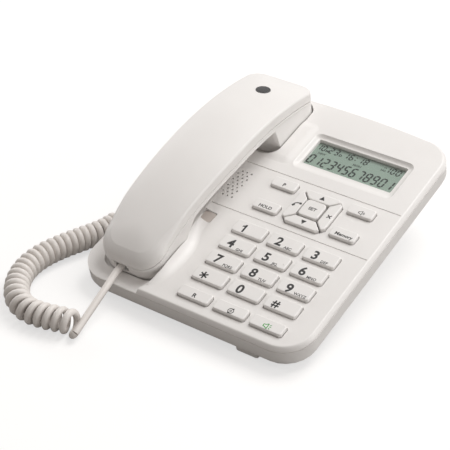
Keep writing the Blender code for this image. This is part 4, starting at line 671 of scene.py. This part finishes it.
def plan_keys():
    """Outline, corner radius, centre and height of each key."""
    number, special, function = [box_corners(*size) for size in (NUMBER_KEY, SPECIAL_KEY, FUNCTION_KEY)]
    for index, name in enumerate(["1", "2", "3", "4", "5", "6", "7", "8", "9", "star", "0", "hash"]):
        KEY_SHAPES["key_" + name] = (number, KEY_CORNER, (COLUMN_X[index % 3], ROW_Y[index // 3]), KEY_TOP)
    for x, name in zip(COLUMN_X, ["flash", "redial", "speaker"]):
        KEY_SHAPES["key_" + name] = (special, KEY_CORNER, (x, SPECIAL_ROW_Y), KEY_TOP)
    for names, x in zip([("p", "hold"), ("volume", "memory")], FUNCTION_X):
        for name, y in zip(names, (UPPER_FUNCTION_Y, LOWER_FUNCTION_Y)):
            KEY_SHAPES["key_" + name] = (function, FUNCTION_CORNER, (x, y), KEY_TOP)
    split = 0.5 * RING_SPLIT * sqrt(2.0)
    middle = 0.5 * (RING + RING_FACE)
    half = [(RING_HOLE - split, RING_HOLE), (middle - 0.5 * split, middle + 0.5 * split), (RING_FACE, RING)]
    up = half + [(-x, y) for x, y in half[::-1]]
    right = [(y, -x) for x, y in up]
    for name, outline in [("up", up), ("down", [(-x, -y) for x, y in up]), ("right", right),
                          ("left", [(-x, -y) for x, y in right])]:
        KEY_SHAPES["key_" + name] = (outline, RING_CORNER, RING_PLACE, KEY_TOP)
    KEY_SHAPES["key_set"] = (box_corners(*SET_KEY), SET_CORNER, RING_PLACE, SET_TOP)


plan_keys()
RING_KEYS = ("key_up", "key_down", "key_right", "key_left", "key_set")


def key_tools():
    """One tool for all the key openings, each with a small edge radius."""
    profile = [(-0.4, -6.6), (-0.4, -0.35), (-0.47, -0.13), (-0.66, 0.04), (-0.66, 5.0)]
    holes = [rounded(corners, radius, profile, 5, centre)
             for name, (corners, radius, centre, _) in KEY_SHAPES.items() if name not in RING_KEYS]
    a, b = RING, RING_FACE
    ring = [(b, -a), (a, -b), (a, b), (b, a), (-b, a), (-a, b), (-a, -b), (-b, -a)]
    return solid("key_tools", holes + [rounded(ring, 0.6, profile, 3, RING_PLACE)])


def small_tools():
    """Seam lines, the lamp's opening, the grille's holes, the hook plunger's opening and the two sockets."""
    left, right = LANE_X + 1.0, RIGHT - 3.0
    profile = [(0.12, -0.5), (0.0, -0.32), (0.0, -0.1), (-0.12, 0.04), (-0.12, 1.0)]
    holes = [rounded(box_corners(right - left, SEAM_WIDTH), 0.14, profile, 3, (0.5 * (left + right), y))
             for y in (UPPER_SEAM_Y, LOWER_SEAM_Y)]
    place = (LANE_X + LAMP_EDGE_GAP + 0.5 * LAMP_SIZE, LOWER_SEAM_Y - LAMP_SEAM_GAP - 0.5 * LAMP_SIZE)
    profile = [(0.0, -4.5), (0.0, -0.3), (-0.06, -0.12), (-0.24, 0.04), (-0.24, 2.0)]
    holes.append(rounded(box_corners(LAMP_SIZE, LAMP_SIZE), 0.8, profile, 4, place))
    profile = [(0.65, -4.4), (0.65, -0.2), (0.70, -0.08), (0.82, 0.04), (0.82, 1.0)]
    for row in range(GRILLE_ROWS):
        shift = 0.5 * GRILLE_PITCH_X if row % 2 == 0 else 0.0
        for column in range(GRILLE_COLUMNS):
            place = (LANE_X + GRILLE_EDGE_GAP + shift + GRILLE_PITCH_X * column,
                     LOWER_SEAM_Y + GRILLE_SEAM_GAP + GRILLE_PITCH_Y * row)
            holes.append(turned(profile, 14, place))
    half = 2.4 + GAP
    for size, radius, low, high, steps, place in [
            (HOOK_OPENING, 1.0, EAR_FLOOR - 4.4, EAR_FLOOR + 2.0, 3, (HANDSET_X, HOOK_Y)),
            (CORD_OPENING, 0.3, CORD_EXIT[2] - half, CORD_EXIT[2] + half, 2, (LEFT, CORD_EXIT[1])),
            (LINE_OPENING, 0.3, -10.1, -3.7, 2, (LINE_X, BACK))]:
        holes.append(prism(corner_ring(box_corners(*size), 0.0, radius, steps, place), low, high))
    return solid("small_tools", holes)


def collar():
    """The lip beside the mouthpiece: the deck rises in a hollow curve to a rounded crest."""
    heads = catmull([Vector(p[:3]) for p in COLLAR], 6)
    widths = catmull([Vector((p[3], 0.0, 0.0)) for p in COLLAR], 6)
    rings = []
    for index, (p, wide) in enumerate(zip(heads, widths)):
        ahead = heads[min(index + 1, len(heads) - 1)] - heads[max(index - 1, 0)]
        side = Vector((ahead.y, -ahead.x, 0.0)).normalized()
        section = [(wide.x, -0.6), (wide.x, -0.06)]
        for step in range(1, 13):
            t = step / 12.0
            section.append((wide.x * (1.0 - t), (p.z + 0.06) * t ** COLLAR_HOLLOW - 0.06))
        section += [(-0.35, p.z + 0.05), (-0.9, p.z), (-4.0, 0.35 * p.z), (-4.0, -0.6)]
        rings.append([Vector((p.x, p.y, z)) + side * reach for reach, z in section[::-1]])
    return solid("collar_form", [rings])


def rim():
    """The low field beside the earpiece, which runs out softly into the deck."""
    corners = frame_corners(LANE_X, -6.5, EAR_FRONT - 6.0, HANDSET_BACK - 15.0)
    profile = [(0.0, -0.6), (0.0, -0.05)]
    profile += [(RIM_RUN * step / 8.0, RIM_HEIGHT * smooth(step / 8.0) - 0.05) for step in range(1, 9)]
    return solid("rim_form", [rounded(corners, 7.5, profile, 8)])


def room():
    """The space inside the base; bosses and the walls of the lane, the wells and the display stay."""
    low = -SKIRT - 1.0
    item = solid("room", [prism(base_ring(WALL, 6), low, -WALL)])
    bosses = [prism(circle(BOSS_RADIUS, 16, (a * SCREW_X, b * SCREW_Y)), low, -1.0)
              for a in (-1, 1) for b in (-1, 1)]
    frame_wall = prism(corner_ring(box_corners(*BEZEL_WALL), 0.0, 6.0, 4, BEZEL_WALL_PLACE), -4.6, 1.0)
    carve(item, "DIFFERENCE", solid("bosses", bosses), solid("bezel_wall", [frame_wall]),
          lane_tool("lane_wall", WALL, -LANE_DROP - WALL, 1.0),
          well("mouth_wall", *MOUTH_WELL, MOUTH_FLOOR, WALL), well("ear_wall", *EAR_WELL, EAR_FLOOR, WALL))
    return item


def upper_shell():
    """The top housing, with every edge rounded and every opening cut."""
    shell = solid("upper_housing", [[lift(base_ring(inset), z) for inset, z in EDGE_PROFILE]], SHELL_WHITE)
    carve(shell, "UNION", rim(), collar())
    carve(shell, "DIFFERENCE", room(), lane_tool("lane_tool", 0.0, -LANE_DROP, 7.0),
          well("mouth_tool", *MOUTH_WELL, MOUTH_FLOOR), well("ear_tool", *EAR_WELL, EAR_FLOOR),
          bezel_tool(), window_tool(), key_tools(), small_tools())
    weighted(shell)
    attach(shell, "base")
    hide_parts("upper_shell")


upper_shell()

# ---------------------------------------------------------------- keys
CAP_EDGE = [(0.0, 0.75), (0.06, 0.45), (0.2, 0.2), (0.42, 0.06), (0.75, 0.0)]
DOT_PROFILE = [(0.45, KEY_TOP - 0.3), (0.45, KEY_TOP + 0.12), (0.33, KEY_TOP + 0.24), (0.15, KEY_TOP + 0.3)]
DOT_PLACE = (36.0, -41.6)


def keys():
    """Every key cap: flange, straight sides and a rolled top edge; a dot on the middle one."""
    for name, (corners, radius, centre, top) in KEY_SHAPES.items():
        profile = [(0.0, -4.0), (0.0, top - 1.0)] + [(inset, top - drop) for inset, drop in CAP_EDGE]
        if name not in RING_KEYS:
            profile = [(-0.8, -4.0), (-0.8, -2.9), (0.0, -2.88)] + profile[1:]
        parts = [rounded(corners, radius, profile, 7, centre)]
        if name == "key_5":
            parts.append(turned(DOT_PROFILE, 12, DOT_PLACE))
        cap = solid(name + "_cap", parts, KEY_WHITE)
        weighted(cap)
        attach(cap, name)
        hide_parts(name)


keys()

# ---------------------------------------------------------------- print on the keys
CAPITAL_SHARE = 0.73
PRINT_RISE = 0.03
NUMBER_SIZE, NUMBER_BOLD, NUMBER_WIDE = 6.6, 0.042, 0.98
LETTER_SIZE, LETTER_BOLD, LETTER_PITCH = 2.0, 0.035, 1.85
WORD_BOLD = 0.045
ONE = [[(0.05, -2.45), (1.0, -2.45), (1.0, 2.45), (0.05, 2.3)],
       [(0.1, 1.1), (0.95, 2.45), (0.3, 2.45), (-0.15, 1.8), (-1.1, 1.3), (-1.1, 0.5)]]
ONE_SCALE = 1.28


def text(name, words, place, height, body, look, bold, wide=1.0, spacing=1.0, top=KEY_TOP, turn=0.0):
    """A printed word, centred on a place of the deck, that goes with a body."""
    curve = bpy.data.curves.new(name, "FONT")
    curve.body = words
    curve.size = height / CAPITAL_SHARE
    curve.align_x = "CENTER"
    curve.align_y = "CENTER"
    curve.extrude = PRINT_RISE
    curve.offset = bold * height
    curve.space_character = spacing
    curve.resolution_u = 6
    curve.materials.append(look)
    item = linked(name, curve)
    item.matrix_world = (DECK_MM @ Matrix.Translation((*place, top)) @ Matrix.Rotation(turn, 4, "Z")
                         @ Matrix.Diagonal((wide, 1.0, 1.0, 1.0)))
    mesh = finished(item)
    mesh.transform(item.matrix_world)
    bpy.data.objects.remove(item, do_unlink=True)
    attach(linked(name, mesh), body)


def shapes(name, outlines, place, key, look=PRINT, scale=1.0):
    """A printed sign from closed outlines about a place of the deck."""
    placed = [[(place[0] + scale * x, place[1] + scale * y) for x, y in outline] for outline in outlines]
    solid(name, [prism(points, KEY_TOP - PRINT_RISE, KEY_TOP + PRINT_RISE) for points in placed], look, key)


def stroke(points, width):
    """The outline of a line of this width through points."""
    left, right = [], []
    for index, point in enumerate(points):
        ahead = Vector(points[min(index + 1, len(points) - 1)]) - Vector(points[max(index - 1, 0)])
        side = Vector((-ahead.y, ahead.x)).normalized() * 0.5 * width
        left.append((point[0] + side.x, point[1] + side.y))
        right.append((point[0] - side.x, point[1] - side.y))
    return right + left[::-1]


def strokes(width, *lines):
    """The outlines of several lines of one width."""
    return [stroke(points, width) for points in lines]


def legends():
    """Numbers, letters and words of the keys."""
    for index, word in enumerate(["", "ABC", "DEF", "GHI", "JKL", "MNO", "PQRS", "TUV", "WXYZ"]):
        number = str(index + 1)
        key = "key_" + number
        x, y = COLUMN_X[index % 3], ROW_Y[index // 3]
        if number == "1":
            shapes("print_number_1", ONE, (x - 3.9, y - 0.9), key, scale=ONE_SCALE)
        else:
            shown, turn = ("6", pi) if number == "9" else (number, 0.0)
            text("print_number_" + number, shown, (x - 3.6, y - 1.0), NUMBER_SIZE, key, PRINT, NUMBER_BOLD,
                 NUMBER_WIDE, turn=turn)
        if word:
            place = (x + 1.0 + 0.5 * LETTER_PITCH * len(word), y - 3.6)
            text("print_letters_" + number, word, place, LETTER_SIZE, key, PRINT_GREY, LETTER_BOLD,
                 0.95, 1.05)
    text("print_number_0", "0", (COLUMN_X[1] - 3.6, ROW_Y[3] - 1.2), NUMBER_SIZE, "key_0", PRINT, NUMBER_BOLD,
         NUMBER_WIDE)
    rays = strokes(1.0, *([(0.0, 0.0), tip] for tip in arc(2.75, 30.0, 330.0, steps=5)))
    shapes("print_star", rays, (COLUMN_X[0] - 3.7, ROW_Y[3] - 1.3), "key_star")
    bars = strokes(0.95, [(-2.5, 0.95), (2.5, 0.95)], [(-2.5, -0.95), (2.5, -0.95)],
                   [(-1.35, -2.8), (-0.75, 2.8)], [(0.75, -2.8), (1.35, 2.8)])
    shapes("print_hash", bars, (COLUMN_X[2] - 4.0, ROW_Y[3] - 1.4), "key_hash")
    for name, word, place, height, look in [
            ("flash", "R", (COLUMN_X[0] + 0.4, SPECIAL_ROW_Y - 1.3), 3.0, PRINT),
            ("p", "P", (0.2, UPPER_FUNCTION_Y - 1.3), 2.7, PRINT_GREY),
            ("hold", "HOLD", (0.0, LOWER_FUNCTION_Y - 1.5), 2.4, PRINT_GREY),
            ("memory", "Memory", (55.0, LOWER_FUNCTION_Y - 1.4), 2.5, PRINT_GREY)]:
        text("print_" + name, word, place, height, "key_" + name, look, WORD_BOLD)
    text("print_set", "SET", (COLUMN_X[1] + 0.3, DPAD_Y - 0.2), 2.5, "key_set", PRINT_GREY, 0.04, top=SET_TOP)


def signs():
    """Arrows, the cross, the handset arc, the loop arrows and the two loudspeakers."""
    x, y = COLUMN_X[1] + 0.7, DPAD_Y
    shapes("print_up", [[(-1.8, -1.5), (1.8, -1.5), (0.0, 1.8)]], (x, y + 11.3), "key_up")
    shapes("print_down", [[(-1.8, 1.5), (0.0, -1.8), (1.8, 1.5)]], (x - 0.3, y - 11.4), "key_down")
    cross = strokes(0.75, [(-1.3, -1.3), (1.3, 1.3)], [(-1.3, 1.3), (1.3, -1.3)])
    shapes("print_cross", cross, (39.3, y - 0.6), "key_right", PRINT_GREY)
    bow = strokes(0.85, arc(2.9, 165.0, 60.0, (0.9, -1.4)))
    bow += strokes(1.5, [(-2.4, -1.9), (-1.1, -0.6)], [(1.2, 1.9), (2.5, 1.0)])
    shapes("print_arc", bow, (16.1, y + 0.1), "key_left", PRINT_GREY)
    loops = []
    for turn in (0.0, 180.0):
        loops += strokes(0.55, arc(1.75, turn + 60.0, turn + 200.0))
        out = Vector((cos(radians(turn + 45.0)), sin(radians(turn + 45.0))))
        tip = 1.75 * out
        away = Vector((-out.y, out.x))
        loops.append([tuple(tip + 0.95 * away + 0.75 * out), tuple(tip + 0.95 * away - 0.75 * out),
                      tuple(tip - 0.7 * away)])
    loops += strokes(0.42, arc(0.55, 0.0, 350.0))
    shapes("print_redial", loops, (COLUMN_X[1] + 0.9, SPECIAL_ROW_Y - 1.4), "key_redial")
    horn = strokes(0.55, [(-2.4, -0.8), (-2.4, 0.8)])
    horn += strokes(0.5, [(-2.4, 0.8), (-1.3, 0.8), (0.3, 1.9)], [(-2.4, -0.8), (-1.3, -0.8), (0.3, -1.9)],
                    [(0.3, -2.0), (0.3, 2.0)])
    waves = strokes(0.45, [(1.3, 0.9), (2.2, 1.6)], [(1.5, 0.0), (2.6, 0.0)], [(1.3, -0.9), (2.2, -1.6)])
    place = (COLUMN_X[2] + 0.5, SPECIAL_ROW_Y - 1.4)
    shapes("print_speaker", horn + waves, place, "key_speaker", PRINT_GREEN)
    waves = strokes(0.4, *(arc(r, -42.0, 42.0, (0.2, 0.0)) for r in (1.1, 1.9)))
    shapes("print_volume", horn + waves, (55.2, UPPER_FUNCTION_Y - 1.5), "key_volume", PRINT_GREY, 0.85)


legends()
signs()

# ---------------------------------------------------------------- display
SEGMENTS = {"0": "abcdef", "1": "bc", "2": "abged", "3": "abgcd", "4": "fgbc", "5": "afgcd", "6": "afgedc",
            "7": "abc", "8": "abcdefg", "9": "abcdfg"}
SLANT = 0.12
INK_FOOT, INK_TOP = LCD_TOP - 0.05, LCD_TOP + 0.12
LOW_LINE, HIGH_LINE = 50.5, 62.4


def bar_outline(low, high, half, cut=0.12):
    """A bar with pointed ends between two points, in half its width."""
    low, high = Vector(low), Vector(high)
    ahead = (high - low).normalized()
    side = Vector((ahead.y, -ahead.x)) * half
    tips = (low + cut * ahead, high - cut * ahead)
    low, high = tips[0] + half * ahead, tips[1] - half * ahead
    return [tuple(p) for p in (tips[0], low + side, high + side, tips[1], high - side, low - side)]


def segment_outlines(width, height, line):
    """Outlines of the seven bars of a digit about its middle, before slanting."""
    x, y = 0.5 * (width - line), 0.5 * (height - line)
    ends = {"a": [(-x, y), (x, y)], "g": [(-x, 0.0), (x, 0.0)], "d": [(-x, -y), (x, -y)],
            "b": [(x, 0.0), (x, y)], "c": [(x, -y), (x, 0.0)], "f": [(-x, 0.0), (-x, y)],
            "e": [(-x, -y), (-x, 0.0)]}
    return {bar: bar_outline(*pair, 0.5 * line) for bar, pair in ends.items()}


def digits(name, words, place, pitch, size, line):
    """A row of slanted seven-bar digits on the display panel."""
    bars = segment_outlines(*size, line)
    solid(name, [prism([(place[0] + pitch * index + x + SLANT * y, place[1] + y) for x, y in bars[bar]],
                       INK_FOOT, INK_TOP)
                 for index, word in enumerate(words) for bar in SEGMENTS[word]], LCD_INK, "base")


def dots(name, places, size):
    """Small square dots on the display panel."""
    corners = box_corners(size, size)
    solid(name, [prism(corner_ring(corners, 0.0, 0.15, 2, place), INK_FOOT, INK_TOP) for place in places],
          LCD_INK, "base")


def display():
    """What the display shows: date, time, a call count and a row of digits."""
    digits("display_number", "012345678901", (-1.6, LOW_LINE), 5.14, (4.1, 8.6), 1.1)
    for name, words, x, pitch in [
            ("month", "10", -2.4, 3.6), ("day", "23", 6.6, 4.0), ("hour", "16", 17.5, 3.8),
            ("minute", "18", 27.9, 3.8), ("count", "100", 47.3, 3.75)]:
        digits("display_" + name, words, (x, HIGH_LINE), pitch, (3.0, 5.6), 0.85)
    high = HIGH_LINE
    dots("display_colon", [(24.6, high + 1.2), (24.3, high - 1.2)], 0.8)
    dots("display_count_sign", [(45.1, high + 1.4), (44.5, high + 0.8), (45.7, high + 0.8)], 0.55)
    for name, words, place, height, look in [
            ("m", "M", (4.1, high - 1.6), 2.0, LCD_INK), ("d", "D", (13.8, high - 1.6), 2.0, LCD_INK),
            ("new", "NEW", (2.3, 57.1), 1.7, LCD_DIM), ("rpt", "MON", (28.0, 57.0), 1.8, LCD_DIM),
            ("no", "NO", (44.6, high - 1.7), 1.6, LCD_DIM)]:
        text("display_" + name, words, place, height, "base", look, 0.05, top=LCD_TOP + 0.06)


display()

# ---------------------------------------------------------------- handset
ARC_RADIUS = 235.0
ARC_CENTRE = 4.9
HANDSET_RISE = 30.3
HALF_WIDTH = 23.5
NARROWING = 2.0
CROWN = 2.2
EDGE_INSET, END_INSET = 0.8, 5.0
EDGE_DROP, END_DROP = 1.6, 5.8
END_START, END_RUN = -48.0, 30.0
EDGE_TURN = 50.0
FRONT_CORNER = 13.5
BACK_CORNER = 10.0
SEAM_DROP = 7.5
SEAM_GAP = 0.5
LIP = 1.9
LIP_INSET = 0.15
HANDLE_DEPTH = 13.0
HANDLE_THINNING, THINNING_RUN = 1.5, 40.0
BLOCK_SLOPE = 6.5
BLOCK_BOW = 3.5
BLOCK_ROUNDING = 3.0
MOUTH_INSET = 1.2
MOUTH_START, MOUTH_RUN = -34.0, 24.0
MOUTH_BOW = 4.0
EAR_INSET = 0.3
HIDDEN_INSET = 22.0
MOST_INSET = 0.985
HANDSET_SHARP = 40.0
EAR_HOLES = (HANDSET_X, 64.9)
MOUTH_HOLES = (HANDSET_X + 6.0, -67.0)
JACK_OPENING = (9.4, 24.0)
BADGE_Y = HANDSET_BACK - 25.5
BADGE_PROFILES = {
    "badge_ring": [(4.9, -0.6), (4.9, 0.1), (4.84, 0.22), (4.72, 0.27), (4.6, 0.24), (4.5, 0.1)],
    "badge_face": [(4.5, -0.6), (4.5, 0.12), (3.8, 0.2), (2.6, 0.26), (1.2, 0.29), (0.1, 0.3)],
}


def shoulder(y):
    """Height of the handset's shoulder above the deck: one long arc."""
    return HANDSET_RISE - ARC_RADIUS + sqrt(ARC_RADIUS ** 2 - (y - ARC_CENTRE) ** 2)


def taper(y):
    """0 over the handle, 1 at the mouthpiece's end."""
    return smooth((TAPER_START - y) / TAPER_RUN)


def half_width(y):
    """Half width of the handset, which narrows a little to the mouthpiece."""
    return HALF_WIDTH - NARROWING * taper(y)


def mouth_share(x, y):
    """1 over the mouthpiece, 0 over the handle."""
    reach = y + MOUTH_BOW * (x / half_width(y)) ** 2
    return 1.0 - smooth((reach - MOUTH_START + MOUTH_RUN) / MOUTH_RUN)


def ear_share(x, y):
    """1 over the earpiece, 0 over the handle."""
    reach = y - BLOCK_BOW * (x / half_width(y)) ** 2
    return smooth((reach - EAR_FRONT) / BLOCK_SLOPE)


def seam(y):
    """Height of the seam between the handset's two shells."""
    return shoulder(y) - SEAM_DROP


def underside(x, y):
    """Lowest surface of the handset."""
    handle = shoulder(y) - HANDLE_DEPTH + HANDLE_THINNING * smooth((TAPER_START - y) / THINNING_RUN)
    level = handle + mouth_share(x, y) * (MOUTH_FLOOR + GAP - handle)
    return level + ear_share(x, y) * (EAR_FLOOR + GAP - handle)


def rounding(x, y):
    """Radius along the lower edges of the handset."""
    return min(BLOCK_ROUNDING, seam(y) - LIP - 0.6 - underside(x, y))


def block_inset(x, y):
    """How far the inner shell's sides stand inside the outer shell's."""
    mouth = mouth_share(x, y) * (MOUTH_INSET - LIP_INSET)
    return LIP_INSET + mouth + ear_share(x, y) * (EAR_INSET - LIP_INSET)


def plan_ring():
    """The handset's outline seen from above, anticlockwise from the front."""
    stops = [HANDSET_FRONT + FRONT_CORNER, MOUTH_START - MOUTH_RUN - MOUTH_BOW, MOUTH_START, EAR_FRONT,
             EAR_FRONT + BLOCK_SLOPE + BLOCK_BOW, HANDSET_BACK - BACK_CORNER]
    middle = []
    for start, end, count in zip(stops, stops[1:], [6, 16, 22, 16, 8]):
        middle += [start + (end - start) * step / count for step in range(count)]
    right = []
    for end, way, turns in ((HANDSET_FRONT, 1.0, range(13)), (HANDSET_BACK, -1.0, range(12, -1, -1))):
        radius = FRONT_CORNER if way > 0.0 else BACK_CORNER
        flat = half_width(end) - radius
        for step in turns:
            angle = 0.5 * pi * step / 12.0
            right.append((flat + radius * sin(angle), end + way * radius * (1.0 - cos(angle))))
        if way > 0.0:
            right += [(half_width(y), y) for y in middle[1:]]
    return right + [(-x, y) for x, y in right[::-1]]


PLAN = plan_ring()


def ring_of(inset_at, height_at):
    """The outline drawn in towards the handset's middle line, and swung a little to the left in front."""
    ring = []
    for x, y in PLAN:
        reach = half_width(y)
        middle = min(max(y, HANDSET_FRONT + reach), HANDSET_BACK - reach)
        keep = 1.0 - min(inset_at(abs(x), y) / reach, MOST_INSET)
        x, y = keep * x, middle + keep * (y - middle)
        ring.append((x + HANDSET_X - SWING * taper(y), y, height_at(x, y)))
    return ring


def capped(name, rows, look):
    """A closed solid over rows of insets and heights, closed along the handset's middle line."""
    bm = bmesh.new()
    lines = walls(bm, [ring_of(*row) for row in rows])
    for line in (lines[0], lines[-1]):
        for low in range(len(line) // 2 - 1):
            high = len(line) - 1 - low
            bm.faces.new((line[low], line[low + 1], line[high - 1], line[high]))
    return to_object(bm, name, look, sharp=HANDSET_SHARP)


def constant(value):
    """An inset that is the same all round."""
    return lambda x, y: value


def edge_inset(y):
    """Inset of the edge of the handset's top, which grows to the mouthpiece's end."""
    return EDGE_INSET + smooth((END_START - y) / END_RUN) * (END_INSET - EDGE_INSET)


def edge_drop(y):
    """Height of the rounding below the handset's shoulder, which grows as well."""
    return EDGE_DROP + smooth((END_START - y) / END_RUN) * (END_DROP - EDGE_DROP)


def outer_shell():
    """The handset's outer shell: straight sides that curve in to a crisp edge, and a crowned top."""
    rows = [(constant(inset), lambda x, y, k=offset: seam(y) + k) for inset, offset in
            [(HIDDEN_INSET, SEAM_GAP), (0.45, SEAM_GAP), (0.12, SEAM_GAP + 0.12), (0.0, SEAM_GAP + 0.45)]]
    full = radians(EDGE_TURN)
    for step in range(10):
        turn = full * step / 9.0
        out = (1.0 - cos(turn)) / (1.0 - cos(full))
        below = 1.0 - sin(turn) / sin(full)
        rows.append((lambda x, y, k=out: k * edge_inset(y),
                     lambda x, y, k=below: shoulder(y) - k * edge_drop(y)))
    for offset, rise in ((0.12, 0.06), (0.35, 0.12)):
        rows.append((lambda x, y, k=offset: k + edge_inset(y), lambda x, y, k=rise: shoulder(y) + k))
    for step in range(1, 13):
        share = 1.0 - step / 12.0
        rows.append((lambda x, y, k=share: half_width(y) - k * (half_width(y) - edge_inset(y)),
                     lambda x, y, k=share: shoulder(y) + CROWN * (1.0 - k * k)))
    shell = capped("handset_top_shell", rows, SHELL_WHITE)
    weighted(shell, HANDSET_SHARP)
    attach(shell, "handset")
    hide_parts("handset_outer_shell")


def inner_shell():
    """The handset's inner shell: a lip under the seam, the two blocks, and holes to speak and hear."""
    rows = [(constant(inset), lambda x, y, k=drop: seam(y) - k) for inset, drop in
            [(HIDDEN_INSET, 0.0), (LIP_INSET + 0.25, 0.0), (LIP_INSET, 0.25), (LIP_INSET, LIP - 0.25),
             (LIP_INSET + 0.25, LIP)]]
    rows += [(lambda x, y: block_inset(x, y) + 0.35, lambda x, y: seam(y) - LIP - 0.1),
             (block_inset, lambda x, y: seam(y) - LIP - 0.6)]
    for step in range(9):
        angle = 0.5 * pi * step / 8.0
        rows.append((lambda x, y, k=1.0 - cos(angle): block_inset(x, y) + k * rounding(x, y),
                     lambda x, y, k=1.0 - sin(angle): underside(x, y) + k * rounding(x, y)))
    for step in range(1, 9):
        share = 1.0 - step / 8.0
        rows.append((lambda x, y, k=share: half_width(y) - k * (half_width(y) - 6.0), underside))
    shell = capped("handset_under_shell", rows, SHELL_WHITE)
    holes = [prism(circle(0.85, 12, place), EAR_FLOOR - 1.0, EAR_FLOOR + 2.3)
             for place in [EAR_HOLES] + circle(3.4, 6, EAR_HOLES) + circle(6.8, 12, EAR_HOLES)]
    holes += [prism(circle(0.7, 12, (MOUTH_HOLES[0] + offset, MOUTH_HOLES[1])), MOUTH_FLOOR - 1.0,
                    MOUTH_FLOOR + 2.3) for offset in (-3.0, 0.0, 3.0)]
    jack = corner_ring(box_corners(*JACK_OPENING), 0.0, 0.4, 3, (SOCKET_X, HANDSET_FRONT - MOUTHPIECE_INSET))
    holes.append(prism(jack, SOCKET_Z - 2.7, SOCKET_Z + 2.7))
    carve(shell, "DIFFERENCE", solid("under_tools", holes))
    weighted(shell, HANDSET_SHARP)
    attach(shell, "handset")
    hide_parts("handset_inner_shell")


def badge():
    """A plain round inlay, slightly domed, in a thin ring."""
    tilt = atan2(ARC_CENTRE - BADGE_Y, ARC_RADIUS)
    middle = (HANDSET_X, BADGE_Y, shoulder(BADGE_Y) + CROWN)
    place = Matrix.Translation(middle) @ Matrix.Rotation(tilt, 4, "X")
    for name, look in [("badge_ring", BADGE_RING), ("badge_face", BADGE_BLACK)]:
        rings = [[place @ Vector(point) for point in ring] for ring in turned(BADGE_PROFILES[name], 40)]
        piece = solid(name, [rings], look, "handset")
        if name == "badge_face":
            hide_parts("handset_badge")


outer_shell()
inner_shell()
badge()

# ---------------------------------------------------------------- finishes of the nodes that stay
FINISHES = {
    "shell_white": SHELL_WHITE, "key_white": KEY_WHITE, "cord_white": CORD_WHITE, "lamp_pink": LAMP,
    "clear_plastic": CLEAR, "display_green": DISPLAY_GREEN, "badge_grey": BADGE_BLACK,
    "foot_rubber": RUBBER, "membrane_grey": MEMBRANE, "board_green": BOARD, "dark_plastic": DARK,
    "zinc_steel": STEEL,
}
for node_name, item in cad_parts.items():
    for place in item.material_slots:
        name = place.material.name.split(".")[0] if place.material else "shell_white"
        place.material = WINDOW if node_name == "lcd_window" else FINISHES.get(name, SHELL_WHITE)

# ---------------------------------------------------------------- floor, light and background
FLOOR_SIZE = 6.0
FLOOR_Z = -0.0001
FLOOR_COLOUR = (0.42, 0.41, 0.40, 1.0)
FLOOR_GLOW = 0.62
SKY_COLOUR = (1.0, 0.94, 0.89, 1.0)
SKY_STRENGTH = 0.36
LIGHT_SIZE = 0.8
LIGHT_AIM = (0.0, 0.0, 0.03)


def floor():
    """A pale floor that keeps the object's shadow, and is white to the camera elsewhere."""
    bm = bmesh.new()
    bm.faces.new([bm.verts.new(point) for point in lift(box_corners(FLOOR_SIZE, FLOOR_SIZE), FLOOR_Z)])
    made = bpy.data.materials.new("floor_white")
    made.use_nodes = True
    tree = made.node_tree
    tree.nodes.clear()
    matt = node(tree, "BsdfDiffuse", {"Color": FLOOR_COLOUR}).outputs[0]
    glow = node(tree, "Emission", {"Strength": FLOOR_GLOW}).outputs[0]
    lit = node(tree, "AddShader", {0: matt, 1: glow}).outputs[0]
    seen = node(tree, "LightPath", {}).outputs["Is Camera Ray"]
    mix = node(tree, "MixShader", {"Fac": seen, 1: matt, 2: lit})
    node(tree, "OutputMaterial", {"Surface": mix.outputs[0]})
    to_object(bm, "floor", made, deck=False)


def background():
    """A world that lights the object plainly and is white where it is seen."""
    world = bpy.data.worlds.new("studio")
    bpy.context.scene.world = world
    world.use_nodes = True
    tree = world.node_tree
    tree.nodes.clear()
    plain = node(tree, "Background", {"Color": SKY_COLOUR, "Strength": SKY_STRENGTH}).outputs[0]
    white = node(tree, "Background", {"Strength": 1.0}).outputs[0]
    ray = node(tree, "LightPath", {}).outputs
    seen = ray["Is Camera Ray"]
    for kind in ("Is Glossy Ray", "Is Transmission Ray"):
        most = node(tree, "Math", {0: seen, 1: ray[kind]})
        most.operation = "MAXIMUM"
        seen = most.outputs[0]
    mix = node(tree, "MixShader", {"Fac": seen, 1: plain, 2: white})
    node(tree, "OutputWorld", {"Surface": mix.outputs[0]})


def lamp(name, place, power):
    """A square area light that looks at the object."""
    data = bpy.data.lights.new(name, "AREA")
    data.shape = "SQUARE"
    data.size = LIGHT_SIZE
    data.energy = power
    item = linked(name, data)
    item.location = place
    item.rotation_euler = (Vector(LIGHT_AIM) - Vector(place)).to_track_quat("-Z", "Y").to_euler()


floor()
background()
lamp("key_light", (0.24, 0.60, 1.16), 12.5)
lamp("right_fill", (1.3, 0.30, 0.50), 5.5)
lamp("left_fill", (-1.3, 0.40, 0.50), 5.0)
bpy.context.scene.view_settings.view_transform = "Standard"
